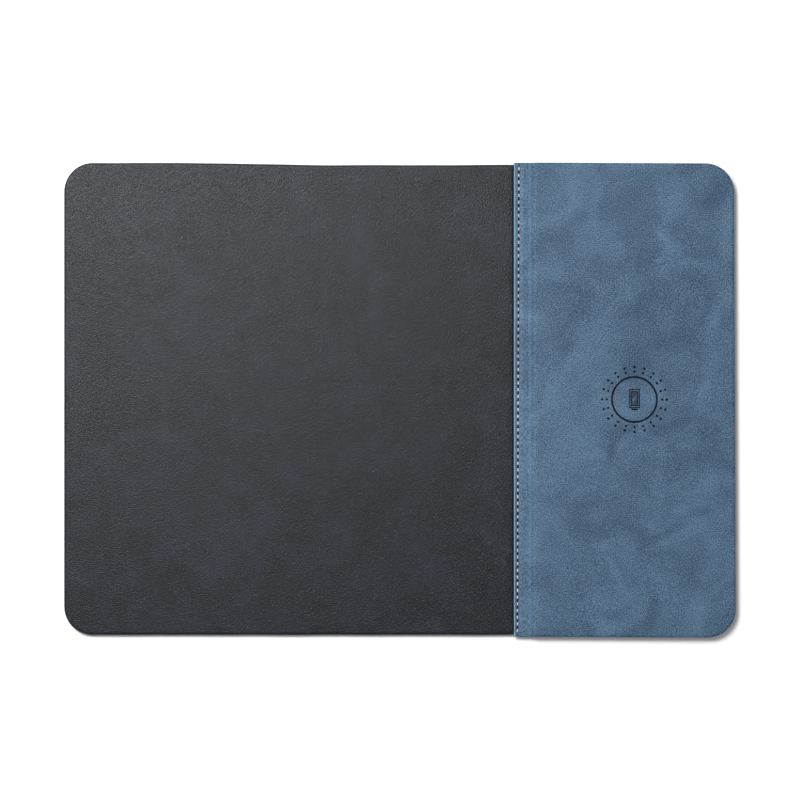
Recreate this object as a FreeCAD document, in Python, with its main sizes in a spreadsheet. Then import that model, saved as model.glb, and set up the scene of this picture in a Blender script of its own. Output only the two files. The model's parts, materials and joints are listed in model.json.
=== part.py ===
import FreeCAD, Part
import math
import os
import re

import Sketcher
from FreeCAD import Rotation, Vector

# Folding desk mat with a wireless charger in its right-hand third.
#
# Frame: +X along the mat towards the charging panel, +Y towards the back edge that holds the
# power socket, +Z up. The origin is the centre of the outline, on the desk.
#
# Three rigid groups lie side by side along X: the mat, a narrow spine, and the charging panel.
# The leather and the base sheet run across the spine on the real mat. They are cut here at the
# two fold lines, where they bend.

document = FreeCAD.newDocument("ChargingMat")

# Driving dimensions, in millimetres, apart from the counts.
DIMENSIONS = {
    # Outline
    "overall_length": 315.0,
    "mat_depth": 221.0,
    "panel_depth": 222.5,
    "corner_radius": 13.5,
    "edge_round": 1.2,
    # Layers, from the desk up
    "base_sheet": 0.6,
    "mat_board": 1.4,
    "foam": 0.6,
    "leather": 0.8,
    "panel_height": 6.0,
    # Fold lines, and how far the layers above and below them stay back
    "first_fold": 52.7,
    "second_fold": 60.4,
    "fold_relief": 1.0,
    "fold_gap": 0.2,
    "ramp": 2.0,
    # Stitching
    "stitch_line": 55.7,
    "stitch_pitch": 3.14,
    "stitch_length": 2.2,
    "stitch_width": 0.6,
    "stitch_height": 0.35,
    "stitch_count": 70,
    "bobbin_recess": 0.4,
    # Charging symbol, pressed into the leather
    "symbol_depth": 0.25,
    "symbol_line": 0.63,
    "ring_radius": 10.95,
    "inner_dot_circle": 13.0,
    "outer_dot_circle": 15.2,
    "dot_radius": 0.45,
    "dot_count": 20,
    "battery_width": 4.9,
    "battery_length": 9.0,
    "battery_line": 0.4,
    "cell_inset": 0.8,
    "terminal_width": 2.2,
    "terminal_length": 0.7,
    "bolt_width": 1.5,
    "bolt_length": 4.4,
    "bolt_step": 0.45,
    # Tray and lid
    "tray_wall": 1.2,
    "tray_floor": 0.7,
    "lid": 0.7,
    "rail_width": 3.2,
    "rib_width": 1.0,
    "rib_opening": 18.0,
    "rib_inner_row": 40.0,
    "rib_outer_row": 76.0,
    # Lid screws and their bosses
    "boss_radius": 2.5,
    "boss_left": 70.0,
    "boss_right": 150.0,
    "boss_inner_row": 34.0,
    "boss_outer_row": 100.0,
    "screw_radius": 1.0,
    "screw_length": 3.0,
    "screw_head": 0.65,
    # Coil
    "coil_centre": 110.0,
    "coil_inner_radius": 10.25,
    "coil_turns": 10,
    "coil_pitch": 1.175,
    "wire_radius": 0.55,
    "coil_clearance": 0.1,
    "adhesive": 0.1,
    "adhesive_radius": 22.0,
    "ferrite": 0.8,
    "ferrite_radius": 25.0,
    "ferrite_slot": 5.0,
    "support_width": 2.0,
    "outer_support": 22.0,
    "inner_support": 9.0,
    "lead_radius": 0.3,
    "lead_spacing": 2.4,
    "lead_end": 86.0,
    "sensor_radius": 0.8,
    "sensor_lead_radius": 0.2,
    "sensor_lead_spacing": 0.8,
    # Circuit board
    "board_width": 42.0,
    "board_depth": 25.0,
    "board": 0.8,
    "board_bottom": 2.1,
    "board_back": 107.6,
    "board_boss_radius": 2.4,
    "board_screw_radius": 0.8,
    "board_screw_length": 1.8,
    "board_screw_head_radius": 1.5,
    "board_screw_head": 0.8,
    "board_screw_spacing": 34.0,
    "board_screw_row": 87.0,
    # Openings in the back edge: how far their fittings are set in, and the leather's clearance
    "opening_setback": 0.4,
    "opening_room": 0.05,
    # Power socket
    "port_height": 2.9,
    "shell_width": 8.94,
    "shell_height": 3.16,
    "shell_wall": 0.3,
    "shell_length": 7.35,
    "shell_clearance": 0.1,
    "tongue_block": 2.2,
    "tongue_width": 6.7,
    "tongue": 0.7,
    "tongue_length": 4.4,
    "contact_count": 12,
    "contact_pitch": 0.5,
    "contact_width": 0.25,
    "contact": 0.05,
    "contact_length": 3.4,
    "bezel_width": 11.0,
    "bezel_height": 4.0,
    "bezel_depth": 1.6,
    # Status light
    "light_offset": 9.5,
    "light_pipe_radius": 0.75,
    "light_pipe_gap": 0.1,
    "light_width": 1.6,
    "light_depth": 0.8,
    "light_height": 0.7,
    # Parts on the board: side lengths, heights and places counted from the board's middle
    "controller_side": 6.0,
    "controller_height": 0.9,
    "controller_row": 96.0,
    "transistor_side": 3.0,
    "transistor_height": 0.8,
    "transistor_pitch": 4.6,
    "transistor_row": 88.5,
    "transistor_count": 4,
    "resonance_length": 4.5,
    "resonance_width": 3.2,
    "resonance_height": 1.5,
    "resonance_pitch": 4.0,
    "resonance_row": 91.5,
    "resonance_column": 12.5,
    "resonance_count": 3,
    "filter_length": 3.2,
    "filter_width": 1.6,
    "filter_height": 1.2,
    "filter_pitch": 2.4,
    "filter_row": 98.0,
    "filter_column": 8.0,
    "filter_count": 3,
    "inductor_side": 5.0,
    "inductor_height": 1.5,
    "inductor_row": 100.0,
    "inductor_column": -13.0,
    "inductor_edge": 0.6,
}

SHEET = document.addObject("Spreadsheet::Sheet", "Sizes")
for row, (alias, amount) in enumerate(DIMENSIONS.items(), start=1):
    SHEET.set(f"A{row}", str(amount))
    SHEET.setAlias(f"A{row}", alias)
document.recompute()

# Places worked out from the driving dimensions. Heights first.
MAT_INSIDE_TOP = "(base_sheet + mat_board + foam)"
MAT_TOP = "(base_sheet + mat_board + foam + leather)"
TRAY_INSIDE_FLOOR = "(base_sheet + tray_floor)"
LID_TOP = "(panel_height - leather)"
LID_BOTTOM = "(panel_height - leather - lid)"
COIL_MIDDLE = f"({LID_BOTTOM} - coil_clearance - wire_radius)"
COIL_BOTTOM = f"({COIL_MIDDLE} - wire_radius)"
FERRITE_TOP = f"({COIL_BOTTOM} - adhesive)"
FERRITE_BOTTOM = f"({FERRITE_TOP} - ferrite)"
BOARD_TOP = "(board_bottom + board)"
LEAD_START = f"({FERRITE_BOTTOM} + lead_radius + coil_clearance / 2)"

# Sides
INNER_RADIUS = "(corner_radius - leather)"
LEFT = "(-overall_length / 2)"
RIGHT = "(overall_length / 2)"
MAT_EDGE = "(mat_depth / 2)"
MAT_INSIDE_EDGE = "(mat_depth / 2 - leather)"
MAT_INSIDE_LEFT = "(leather - overall_length / 2)"
PANEL_EDGE = "(panel_depth / 2)"
PANEL_LEFT = "(second_fold + fold_relief)"
TRAY_LEFT = f"({PANEL_LEFT} + leather)"
TRAY_RIGHT = "(overall_length / 2 - leather)"
TRAY_EDGE = "(panel_depth / 2 - leather)"
OPENING_FACE = "(panel_depth / 2 - opening_setback)"
SHELL_BACK = f"({OPENING_FACE} - shell_length)"

# The underside of the leather on the ramp is the line x = z + RAMP_LINE.
RAMP_LINE = f"({PANEL_LEFT} - panel_height + ramp + leather * sqrt(2))"
LID_LEFT = f"({RAMP_LINE} + {LID_TOP})"
TRAY_RAMP = f"({RAMP_LINE} + {LID_BOTTOM} - {TRAY_LEFT})"

BOSSES = [(column, line) for column in ("boss_left", "boss_right")
          for line in ("-boss_outer_row", "-boss_inner_row", "boss_inner_row", "boss_outer_row")]
BOARD_SCREWS = [(f"coil_centre + {side} * board_screw_spacing / 2", "board_screw_row") for side in (-1, 1)]

TOLERANCE = 0.01

nodes = []


def in_sheet(formula):
    """The formula with each sheet alias written the way the document needs it."""
    return re.sub(r"\b[a-z_]+\b(?!\()", lambda alias: "Sizes." + alias.group(0), formula)


def value(formula):
    return float(SHEET.evalExpression(in_sheet(formula)))


def bind(thing, name, formula):
    thing.setExpression(name, in_sheet(formula))


def add_node(thing, name):
    thing.Label = name
    nodes.append(thing)
    return thing


# Sketches

def new_body(name):
    body = document.addObject("PartDesign::Body", name)
    body.AllowCompound = True
    return add_node(body, name)


def new_sketch(body, name, height, role="XY_Plane"):
    """A sketch on one of the body's own planes, moved along the plane's normal by height."""
    plane = next(part for part in body.Origin.OriginFeatures if part.Role == role)
    sketch = body.newObject("Sketcher::SketchObject", name)
    sketch.AttachmentSupport = [(plane, "")]
    sketch.MapMode = "FlatFace"
    bind(sketch, "AttachmentOffset.Base.z", height)
    return sketch


def back_sketch(body, name, distance):
    """An upright sketch that faces forwards, at a distance behind the origin."""
    return new_sketch(body, name, f"-({distance})", "XZ_Plane")


def fix_point(sketch, geometry, point, across, along):
    """Hold a point of the sketch at its distances from the sketch's origin."""
    for kind, formula, axis in (("DistanceX", across, -2), ("DistanceY", along, -1)):
        distance = value(formula)
        if distance == 0.0:
            sketch.addConstraint(Sketcher.Constraint("PointOnObject", geometry, point, axis))
            continue
        index = sketch.addConstraint(Sketcher.Constraint(kind, geometry, point, distance))
        bind(sketch, f"Constraints[{index}]", formula)


def fix_radius(sketch, geometry, radius):
    index = sketch.addConstraint(Sketcher.Constraint("Radius", geometry, value(radius)))
    bind(sketch, f"Constraints[{index}]", radius)


def draw_polygon(sketch, corners):
    """A closed outline through corners, each a pair of formulas."""
    points = [Vector(value(across), value(along), 0) for across, along in corners]
    first = sketch.GeometryCount
    count = len(points)
    for index in range(count):
        sketch.addGeometry(Part.LineSegment(points[index], points[(index + 1) % count]), False)
    for index in range(count):
        following = first + (index + 1) % count
        sketch.addConstraint(Sketcher.Constraint("Coincident", first + index, 2, following, 1))
    for index, (across, along) in enumerate(corners):
        fix_point(sketch, first + index, 1, across, along)


def draw_rectangle(sketch, left, right, front, back):
    draw_polygon(sketch, [(left, front), (right, front), (right, back), (left, back)])


def join_smoothly(sketch, first, first_end, second, second_end):
    sketch.addConstraint(Sketcher.Constraint("Tangent", first, first_end, second, second_end))


def draw_tab(sketch, straight_side, round_side, edge, radius):
    """A rectangle, edge deep to the front and back, whose two corners on one side are round."""
    across, around, deep, bend = (value(formula) for formula in (straight_side, round_side, edge, radius))
    sign = 1 if around > across else -1
    centres = [Vector(around - sign * bend, side * (deep - bend), 0) for side in (-1, 1)]
    turns = []
    for centre, side in zip(centres, (-1, 1)):
        start = math.atan2(side, sign) - math.pi / 4
        circle = Part.Circle(centre, Vector(0, 0, 1), bend)
        turns.append(sketch.addGeometry(Part.ArcOfCircle(circle, start, start + math.pi / 2), False))
    stops = [Vector(across, -deep, 0), Vector(centres[0].x, -deep, 0), Vector(around, centres[0].y, 0),
             Vector(around, centres[1].y, 0), Vector(centres[1].x, deep, 0), Vector(across, deep, 0)]
    front, side_line, back, closing = (
        sketch.addGeometry(Part.LineSegment(stops[first], stops[last]), False)
        for first, last in ((0, 1), (2, 3), (4, 5), (5, 0)))
    begin, finish = (1, 2) if sign > 0 else (2, 1)
    front_turn, back_turn = turns
    join_smoothly(sketch, front, 2, front_turn, begin)
    join_smoothly(sketch, front_turn, finish, side_line, 1)
    join_smoothly(sketch, side_line, 2, back_turn, begin)
    join_smoothly(sketch, back_turn, finish, back, 1)
    sketch.addConstraint(Sketcher.Constraint("Coincident", back, 2, closing, 1))
    sketch.addConstraint(Sketcher.Constraint("Coincident", closing, 2, front, 1))
    middle = f"{round_side} - {sign} * ({radius})"
    fix_point(sketch, front, 1, straight_side, f"-{edge}")
    fix_point(sketch, closing, 1, straight_side, edge)
    fix_point(sketch, front_turn, 3, middle, f"{radius} - {edge}")
    fix_point(sketch, back_turn, 3, middle, f"{edge} - ({radius})")
    fix_radius(sketch, front_turn, radius)
    fix_radius(sketch, back_turn, radius)


def draw_circle(sketch, across, along, radius):
    centre = Vector(value(across), value(along), 0)
    circle = sketch.addGeometry(Part.Circle(centre, Vector(0, 0, 1), value(radius)), False)
    fix_point(sketch, circle, 3, across, along)
    fix_radius(sketch, circle, radius)


def draw_slot(sketch, across, along, width, height):
    """A level slot with round ends: width from end to end, height from side to side."""
    radius = f"(({height}) / 2)"
    reach = f"(({width}) / 2 - {radius})"
    middle = Vector(value(across), value(along), 0)
    span = Vector(value(reach), 0, 0)
    rise = Vector(0, value(radius), 0)
    ends = []
    for sign in (1, -1):
        circle = Part.Circle(middle + span * sign, Vector(0, 0, 1), value(radius))
        start = -sign * math.pi / 2
        ends.append(sketch.addGeometry(Part.ArcOfCircle(circle, start, start + math.pi), False))
    upper = sketch.addGeometry(Part.LineSegment(middle + span + rise, middle - span + rise), False)
    lower = sketch.addGeometry(Part.LineSegment(middle - span - rise, middle + span - rise), False)
    right_end, left_end = ends
    loop = [right_end, upper, left_end, lower]
    for index, piece in enumerate(loop):
        join_smoothly(sketch, piece, 2, loop[(index + 1) % len(loop)], 1)
    fix_point(sketch, right_end, 3, f"{across} + {reach}", along)
    fix_point(sketch, left_end, 3, f"{across} - {reach}", along)
    fix_radius(sketch, right_end, radius)


# Features

def pad(body, sketch, length):
    """Raise the sketch along its normal."""
    feature = body.newObject("PartDesign::Pad", "Pad")
    feature.Profile = sketch
    bind(feature, "Length", length)
    document.recompute()
    return feature


def pocket(body, sketch, depth, along_normal=False):
    """Cut from the sketch against its normal, or along it, and make sure that it cuts."""
    before = body.Shape.Volume
    feature = body.newObject("PartDesign::Pocket", "Pocket")
    feature.Profile = sketch
    feature.Reversed = along_normal
    bind(feature, "Length", depth)
    document.recompute()
    if body.Shape.Volume >= before:
        raise RuntimeError(f"{body.Label}: {sketch.Label} cuts nothing")
    return feature


def edges_where(body, test):
    """Names of the body's edges whose two ends and middle all pass the test."""
    names = []
    for number, edge in enumerate(body.Shape.Edges, start=1):
        first, last = edge.FirstParameter, edge.LastParameter
        if all(test(edge.valueAt(place)) for place in (first, (first + last) / 2, last)):
            names.append(f"Edge{number}")
    return names


def bevel(body, test, size):
    """Cut a flat face across every edge that passes the test."""
    names = edges_where(body, test)
    base = body.Tip
    feature = body.newObject("PartDesign::Chamfer", "Bevel")
    feature.Base = (base, names)
    bind(feature, "Size", size)
    document.recompute()
    if not feature.isValid():
        raise RuntimeError(f"{body.Label}: no bevel on {names}")


def close_to(amount, formula):
    return abs(amount - value(formula)) < TOLERANCE


# Sheets and covers


def add_plate(name, left, right, edge, bottom, thickness):
    """A flat strip with square corners that reaches edge to the front and back."""
    body = new_body(name)
    sketch = new_sketch(body, "Outline", bottom)
    draw_rectangle(sketch, left, right, f"-{edge}", edge)
    pad(body, sketch, thickness)
    return body


def add_sheet(name, straight_side, round_side, edge, bottom, thickness, radius=INNER_RADIUS):
    """A flat sheet whose two outer corners are round."""
    body = new_body(name)
    sketch = new_sketch(body, "Outline", bottom)
    draw_tab(sketch, straight_side, round_side, edge, radius)
    pad(body, sketch, thickness)
    return body


def make_room(body, straight_side, round_side, edge, roof):
    """Hollow a cover from below, so that the stiff layers fit inside it."""
    sketch = new_sketch(body, "Room", "0")
    draw_tab(sketch, straight_side, round_side, edge, INNER_RADIUS)
    pocket(body, sketch, roof, along_normal=True)


def round_rim(body, height, fold_side):
    """Round the top edges of a cover, except the one along the fold."""
    top = edges_where(body, lambda point: close_to(point.z, height))
    rim = [name for name in top if not close_to(body.Shape.getElement(name).CenterOfMass.x, fold_side)]
    base = body.Tip
    feature = body.newObject("PartDesign::Fillet", "Rim")
    feature.Base = (base, rim)
    bind(feature, "Radius", "edge_round")
    document.recompute()
    if not feature.isValid():
        raise RuntimeError(f"{body.Label}: no round on {rim}")


def dark_leather_top():
    fold_side = "(first_fold - fold_relief)"
    body = add_sheet("dark_leather_top", fold_side, LEFT, MAT_EDGE, "0", MAT_TOP, "corner_radius")
    round_rim(body, MAT_TOP, fold_side)
    make_room(body, fold_side, MAT_INSIDE_LEFT, MAT_INSIDE_EDGE, MAT_INSIDE_TOP)


def mat_layers():
    above_fold = "(first_fold - fold_relief)"
    below_fold = "(first_fold - fold_gap)"
    add_sheet("foam_pad", above_fold, MAT_INSIDE_LEFT, MAT_INSIDE_EDGE, "(base_sheet + mat_board)", "foam")
    add_sheet("mat_board", below_fold, MAT_INSIDE_LEFT, MAT_INSIDE_EDGE, "base_sheet", "mat_board")
    add_sheet("mat_base_sheet", below_fold, MAT_INSIDE_LEFT, MAT_INSIDE_EDGE, "0", "base_sheet")


def spine_layers():
    strip_left = "(first_fold + fold_relief)"
    left = "(first_fold + fold_gap)"
    right = "(second_fold - fold_gap)"
    felt = "(mat_board + foam - bobbin_recess)"
    add_plate("blue_leather_seam_strip", strip_left, "(second_fold - fold_relief)", PANEL_EDGE,
              MAT_TOP, "leather")
    add_plate("dark_leather_underlap", strip_left, right, MAT_EDGE, MAT_INSIDE_TOP, "leather")
    add_plate("spine_felt", left, right, MAT_INSIDE_EDGE, "base_sheet", felt)
    add_plate("spine_base_sheet", left, right, MAT_INSIDE_EDGE, "0", "base_sheet")


def seam_thread(name, bottom, height):
    """One row of separate stitches along Y, centred on the mat's middle."""
    body = new_body(name)
    first_stitch = "(stitch_pitch * (stitch_count - 1) / 2)"
    half_width = "stitch_width / 2"
    sketch = new_sketch(body, "Stitch", bottom)
    draw_rectangle(sketch, f"stitch_line - {half_width}", f"stitch_line + {half_width}",
                   f"-{first_stitch} - stitch_length / 2", f"-{first_stitch} + stitch_length / 2")
    stitch = pad(body, sketch, height)
    row = body.newObject("PartDesign::LinearPattern", "Row")
    row.Originals = [stitch]
    row.Direction = (sketch, ["V_Axis"])
    bind(row, "Length", "stitch_pitch * (stitch_count - 1)")
    bind(row, "Occurrences", "stitch_count")
    body.Tip = row
    document.recompute()


# Charging symbol

def symbol_sketch(body, name):
    """A sketch on the panel's top face with its origin over the coil's centre."""
    sketch = new_sketch(body, name, "panel_height")
    bind(sketch, "AttachmentOffset.Base.x", "coil_centre")
    return sketch


def press_ring(body):
    sketch = symbol_sketch(body, "Ring")
    draw_circle(sketch, "0", "0", "ring_radius")
    draw_circle(sketch, "0", "0", "(ring_radius - symbol_line)")
    pocket(body, sketch, "symbol_depth")


def press_battery(body):
    """A battery outline with its terminal to the front, and a charged cell with a bolt left standing."""
    half_width = "battery_width / 2"
    half_length = "battery_length / 2"
    sketch = symbol_sketch(body, "Battery")
    draw_rectangle(sketch, f"-{half_width}", half_width, f"-{half_length}", half_length)
    draw_rectangle(sketch, f"battery_line - {half_width}", f"{half_width} - battery_line",
                   f"battery_line - {half_length}", f"{half_length} - battery_line")
    draw_rectangle(sketch, f"cell_inset - {half_width}", f"{half_width} - cell_inset",
                   f"cell_inset - {half_length}", f"{half_length} - cell_inset")
    draw_polygon(sketch, [
        ("bolt_step", "bolt_length / 2"),
        ("-bolt_width / 2", "-bolt_step"),
        ("-bolt_step / 3", "-bolt_step"),
        ("-bolt_step", "-bolt_length / 2"),
        ("bolt_width / 2", "bolt_step"),
        ("bolt_step / 3", "bolt_step"),
    ])
    pocket(body, sketch, "symbol_depth")
    terminal = symbol_sketch(body, "Terminal")
    draw_rectangle(terminal, "-terminal_width / 2", "terminal_width / 2",
                   f"-{half_length} - terminal_length", f"-{half_length}")
    pocket(body, terminal, "symbol_depth")


def press_dots(body):
    sketch = symbol_sketch(body, "Dots")
    for circle in ("inner_dot_circle", "outer_dot_circle"):
        draw_circle(sketch, "0", circle, "dot_radius")
    dots = pocket(body, sketch, "symbol_depth")
    ring = body.newObject("PartDesign::PolarPattern", "DotRing")
    ring.Originals = [dots]
    ring.Axis = (sketch, ["N_Axis"])
    ring.Angle = 360
    bind(ring, "Occurrences", "dot_count")
    body.Tip = ring
    document.recompute()


def cut_back_openings(body, distance, depth, room="0"):
    """Cut the socket's and the light's holes through a wall whose outer face is at distance.

    The holes are wider than their fittings by room on every side.
    """
    socket = back_sketch(body, "SocketHole", distance)
    draw_slot(socket, "coil_centre", "port_height", f"(bezel_width + 2 * {room})",
              f"(bezel_height + 2 * {room})")
    pocket(body, socket, depth, along_normal=True)
    light = back_sketch(body, "LightHole", distance)
    draw_circle(light, "coil_centre + light_offset", f"{BOARD_TOP} + light_height / 2",
                f"light_pipe_radius + {room}")
    pocket(body, light, depth, along_normal=True)


def blue_leather_top():
    body = add_sheet("blue_leather_top", PANEL_LEFT, RIGHT, PANEL_EDGE, "0", "panel_height", "corner_radius")
    bevel(body, lambda point: close_to(point.x, PANEL_LEFT) and close_to(point.z, "panel_height"), "ramp")
    round_rim(body, "panel_height", f"({PANEL_LEFT} + ramp)")
    make_room(body, LID_LEFT, TRAY_RIGHT, TRAY_EDGE, LID_TOP)
    under_ramp = back_sketch(body, "UnderRamp", TRAY_EDGE)
    draw_polygon(under_ramp, [(TRAY_LEFT, "0"), (TRAY_LEFT, f"{TRAY_LEFT} - {RAMP_LINE}"),
                              (LID_LEFT, LID_TOP), (LID_LEFT, "0")])
    pocket(body, under_ramp, f"2 * {TRAY_EDGE}", along_normal=True)
    cut_back_openings(body, PANEL_EDGE, "leather", "opening_room")
    press_ring(body)
    press_battery(body)
    press_dots(body)


# Charger housing

def raise_circles(body, name, places, radius, bottom, height):
    sketch = new_sketch(body, name, bottom)
    for across, along in places:
        draw_circle(sketch, across, along, radius)
    return pad(body, sketch, height)


def drill_circles(body, name, places, radius, top, depth):
    sketch = new_sketch(body, name, top)
    for across, along in places:
        draw_circle(sketch, across, along, radius)
    return pocket(body, sketch, depth)


def raise_support_ring(body, name, radius, height):
    sketch = new_sketch(body, name, TRAY_INSIDE_FLOOR)
    draw_circle(sketch, "coil_centre", "0", radius)
    draw_circle(sketch, "coil_centre", "0", f"({radius} - support_width)")
    pad(body, sketch, height)


def raise_ribs(body, left, right, height):
    """Cross ribs that hold the lid up, open in the middle for the leads."""
    sketch = new_sketch(body, "Ribs", TRAY_INSIDE_FLOOR)
    for line in ("-rib_outer_row", "-rib_inner_row", "rib_inner_row", "rib_outer_row"):
        front, back = f"({line} - rib_width / 2)", f"({line} + rib_width / 2)"
        draw_rectangle(sketch, left, "(coil_centre - rib_opening / 2)", front, back)
        draw_rectangle(sketch, "(coil_centre + rib_opening / 2)", right, front, back)
    pad(body, sketch, height)


def charger_tray():
    body = add_sheet("charger_tray", TRAY_LEFT, TRAY_RIGHT, TRAY_EDGE, "base_sheet",
                     f"({LID_BOTTOM} - base_sheet)")
    bevel(body, lambda point: close_to(point.x, TRAY_LEFT) and close_to(point.z, LID_BOTTOM), TRAY_RAMP)
    inside_left = f"({TRAY_LEFT} + rail_width)"
    inside_right = f"({TRAY_RIGHT} - tray_wall)"
    inside_edge = f"({TRAY_EDGE} - tray_wall)"
    inside_height = f"({LID_BOTTOM} - {TRAY_INSIDE_FLOOR})"
    sketch = new_sketch(body, "Inside", TRAY_INSIDE_FLOOR)
    draw_tab(sketch, inside_left, inside_right, inside_edge, f"({INNER_RADIUS} - tray_wall)")
    pocket(body, sketch, inside_height, along_normal=True)
    raise_ribs(body, inside_left, inside_right, inside_height)
    support_height = f"({FERRITE_BOTTOM} - {TRAY_INSIDE_FLOOR})"
    raise_support_ring(body, "OuterSupport", "outer_support", support_height)
    raise_support_ring(body, "InnerSupport", "inner_support", support_height)
    raise_circles(body, "Bosses", BOSSES, "boss_radius", TRAY_INSIDE_FLOOR, inside_height)
    drill_circles(body, "Pilots", BOSSES, "screw_radius", LID_BOTTOM, "screw_length")
    raise_circles(body, "BoardBosses", BOARD_SCREWS, "board_boss_radius", TRAY_INSIDE_FLOOR,
                  f"(board_bottom - {TRAY_INSIDE_FLOOR})")
    drill_circles(body, "BoardPilots", BOARD_SCREWS, "board_screw_radius", "board_bottom",
                  "(board_screw_length - board)")
    cut_back_openings(body, TRAY_EDGE, "tray_wall")


def charger_lid():
    body = add_sheet("charger_lid", LID_LEFT, TRAY_RIGHT, TRAY_EDGE, LID_BOTTOM, "lid")
    drill_circles(body, "ScrewHoles", BOSSES, "screw_radius", LID_TOP, "lid")
    holes = [(value(across), value(along)) for across, along in BOSSES]

    def on_hole_rim(point):
        near = any(math.hypot(point.x - x, point.y - y) < value("boss_radius") for x, y in holes)
        return near and close_to(point.z, LID_TOP)

    bevel(body, on_hole_rim, "screw_head")
    bezel = back_sketch(body, "BezelRoom", TRAY_EDGE)
    draw_slot(bezel, "coil_centre", "port_height", "bezel_width", "bezel_height")
    pocket(body, bezel, "tray_wall", along_normal=True)


# Plain pieces made of primitives

def place(thing, across, along, up):
    for axis, formula in (("x", across), ("y", along), ("z", up)):
        bind(thing, "Placement.Base." + axis, formula)
    return thing


def new_box(name, across, along, bottom, width, depth, height):
    """An upright block whose base is centred on a point."""
    block = document.addObject("Part::Box", name)
    bind(block, "Length", width)
    bind(block, "Width", depth)
    bind(block, "Height", height)
    return place(block, f"{across} - {width} / 2", f"{along} - {depth} / 2", bottom)


def new_cylinder(name, across, along, bottom, radius, height):
    rod = document.addObject("Part::Cylinder", name)
    bind(rod, "Radius", radius)
    bind(rod, "Height", height)
    return place(rod, across, along, bottom)


def new_tube(name, start, end, radius):
    """A straight wire from one point to another."""
    first = Vector(*(value(formula) for formula in start))
    run = Vector(*(value(formula) for formula in end)) - first
    wire = document.addObject("Part::Cylinder", name)
    wire.Height = run.Length
    wire.Placement.Rotation = Rotation(Vector(0, 0, 1), run)
    bind(wire, "Radius", radius)
    return place(wire, *start)


def new_screw(name, across, along, top, length, radius, head, head_foot, head_top):
    """A shank under a round head: length runs from the tip to the head's top."""
    shank = new_cylinder(name + "Shank", across, along, f"{top} - {length}", radius, length)
    cap = document.addObject("Part::Cone", name + "Head")
    bind(cap, "Radius1", head_foot)
    bind(cap, "Radius2", head_top)
    bind(cap, "Height", head)
    place(cap, across, along, f"{top} - {head}")
    screw = document.addObject("Part::Fuse", name)
    screw.Base = shank
    screw.Tool = cap
    return screw


def add_group(name, members):
    """One node of several separate solids."""
    group = document.addObject("Part::Compound", name)
    group.Links = members
    return add_node(group, name)


def lid_screws():
    """Countersunk screws, flush with the lid."""
    length = "(screw_length + lid)"
    add_group("lid_screws", [
        new_screw(f"LidScrew{number}", across, along, LID_TOP, length, "screw_radius",
                  "screw_head", "screw_radius", "(screw_radius + screw_head)")
        for number, (across, along) in enumerate(BOSSES, start=1)])


def board_screws():
    """Pan-headed screws through the circuit board."""
    top = f"({BOARD_TOP} + board_screw_head)"
    length = "(board_screw_length + board_screw_head)"
    add_group("board_screws", [
        new_screw(f"BoardScrew{number}", across, along, top, length, "board_screw_radius",
                  "board_screw_head", "board_screw_head_radius", "board_screw_head_radius")
        for number, (across, along) in enumerate(BOARD_SCREWS, start=1)])


# Coil

def centred_body(name):
    """A body whose own origin is on the coil's axis, at desk height."""
    body = new_body(name)
    bind(body, "Placement.Base.x", "coil_centre")
    return body


def coil_winding():
    """Flat turns of stranded wire, each a ring beside the last."""
    body = centred_body("coil_winding")
    sketch = new_sketch(body, "Turns", "0", "XZ_Plane")
    for turn in range(int(value("coil_turns"))):
        draw_circle(sketch, f"coil_inner_radius + wire_radius + {turn} * coil_pitch", COIL_MIDDLE,
                    "wire_radius")
    feature = body.newObject("PartDesign::Revolution", "Wind")
    feature.Profile = sketch
    feature.ReferenceAxis = (sketch, ["V_Axis"])
    feature.Angle = 360
    document.recompute()


def coil_backing():
    adhesive = centred_body("coil_adhesive_disc")
    sketch = new_sketch(adhesive, "Disc", FERRITE_TOP)
    draw_circle(sketch, "0", "0", "adhesive_radius")
    draw_circle(sketch, "0", "0", "coil_inner_radius")
    pad(adhesive, sketch, "adhesive")
    ferrite = centred_body("ferrite_shield")
    sketch = new_sketch(ferrite, "Disc", FERRITE_BOTTOM)
    draw_circle(sketch, "0", "0", "ferrite_radius")
    pad(ferrite, sketch, "ferrite")
    slot = new_sketch(ferrite, "LeadSlot", FERRITE_TOP)
    draw_rectangle(slot, "-ferrite_slot / 2", "ferrite_slot / 2", "-sensor_radius", "ferrite_radius")
    pocket(ferrite, slot, "ferrite")


def coil_leads():
    """One lead from the inside of the coil, through the shield's slot, and one from the outside."""
    inner = new_tube("InnerLead",
                     ("coil_centre + lead_spacing / 2", "coil_inner_radius - lead_radius",
                      LEAD_START),
                     ("coil_centre + lead_spacing / 2", "lead_end", f"{BOARD_TOP} + lead_radius"),
                     "lead_radius")
    outer_edge = "coil_inner_radius + coil_turns * coil_pitch"
    outer = new_tube("OuterLead",
                     ("coil_centre - lead_spacing / 2 - ferrite_slot / 2", outer_edge, COIL_MIDDLE),
                     ("coil_centre - lead_spacing / 2 - ferrite_slot / 2", "lead_end",
                      f"{BOARD_TOP} + lead_radius"),
                     "lead_radius")
    add_group("coil_leads", [inner, outer])


def temperature_sensor():
    """A bead in the shield's slot, in the eye of the coil, and its two fine leads."""
    bead = document.addObject("Part::Sphere", "thermistor")
    bind(bead, "Radius", "sensor_radius")
    place(bead, "coil_centre - lead_spacing / 2", "0", LEAD_START)
    add_node(bead, "thermistor")
    leads = []
    for side in (-1, 1):
        across = f"coil_centre - lead_spacing / 2 + {side} * sensor_lead_spacing / 2"
        leads.append(new_tube(f"SensorLead{len(leads)}",
                              (across, "sensor_radius", LEAD_START),
                              (across, "lead_end", f"{BOARD_TOP} + sensor_lead_radius"),
                              "sensor_lead_radius"))
    add_group("thermistor_leads", leads)


# Circuit board and what is soldered to it

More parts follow.
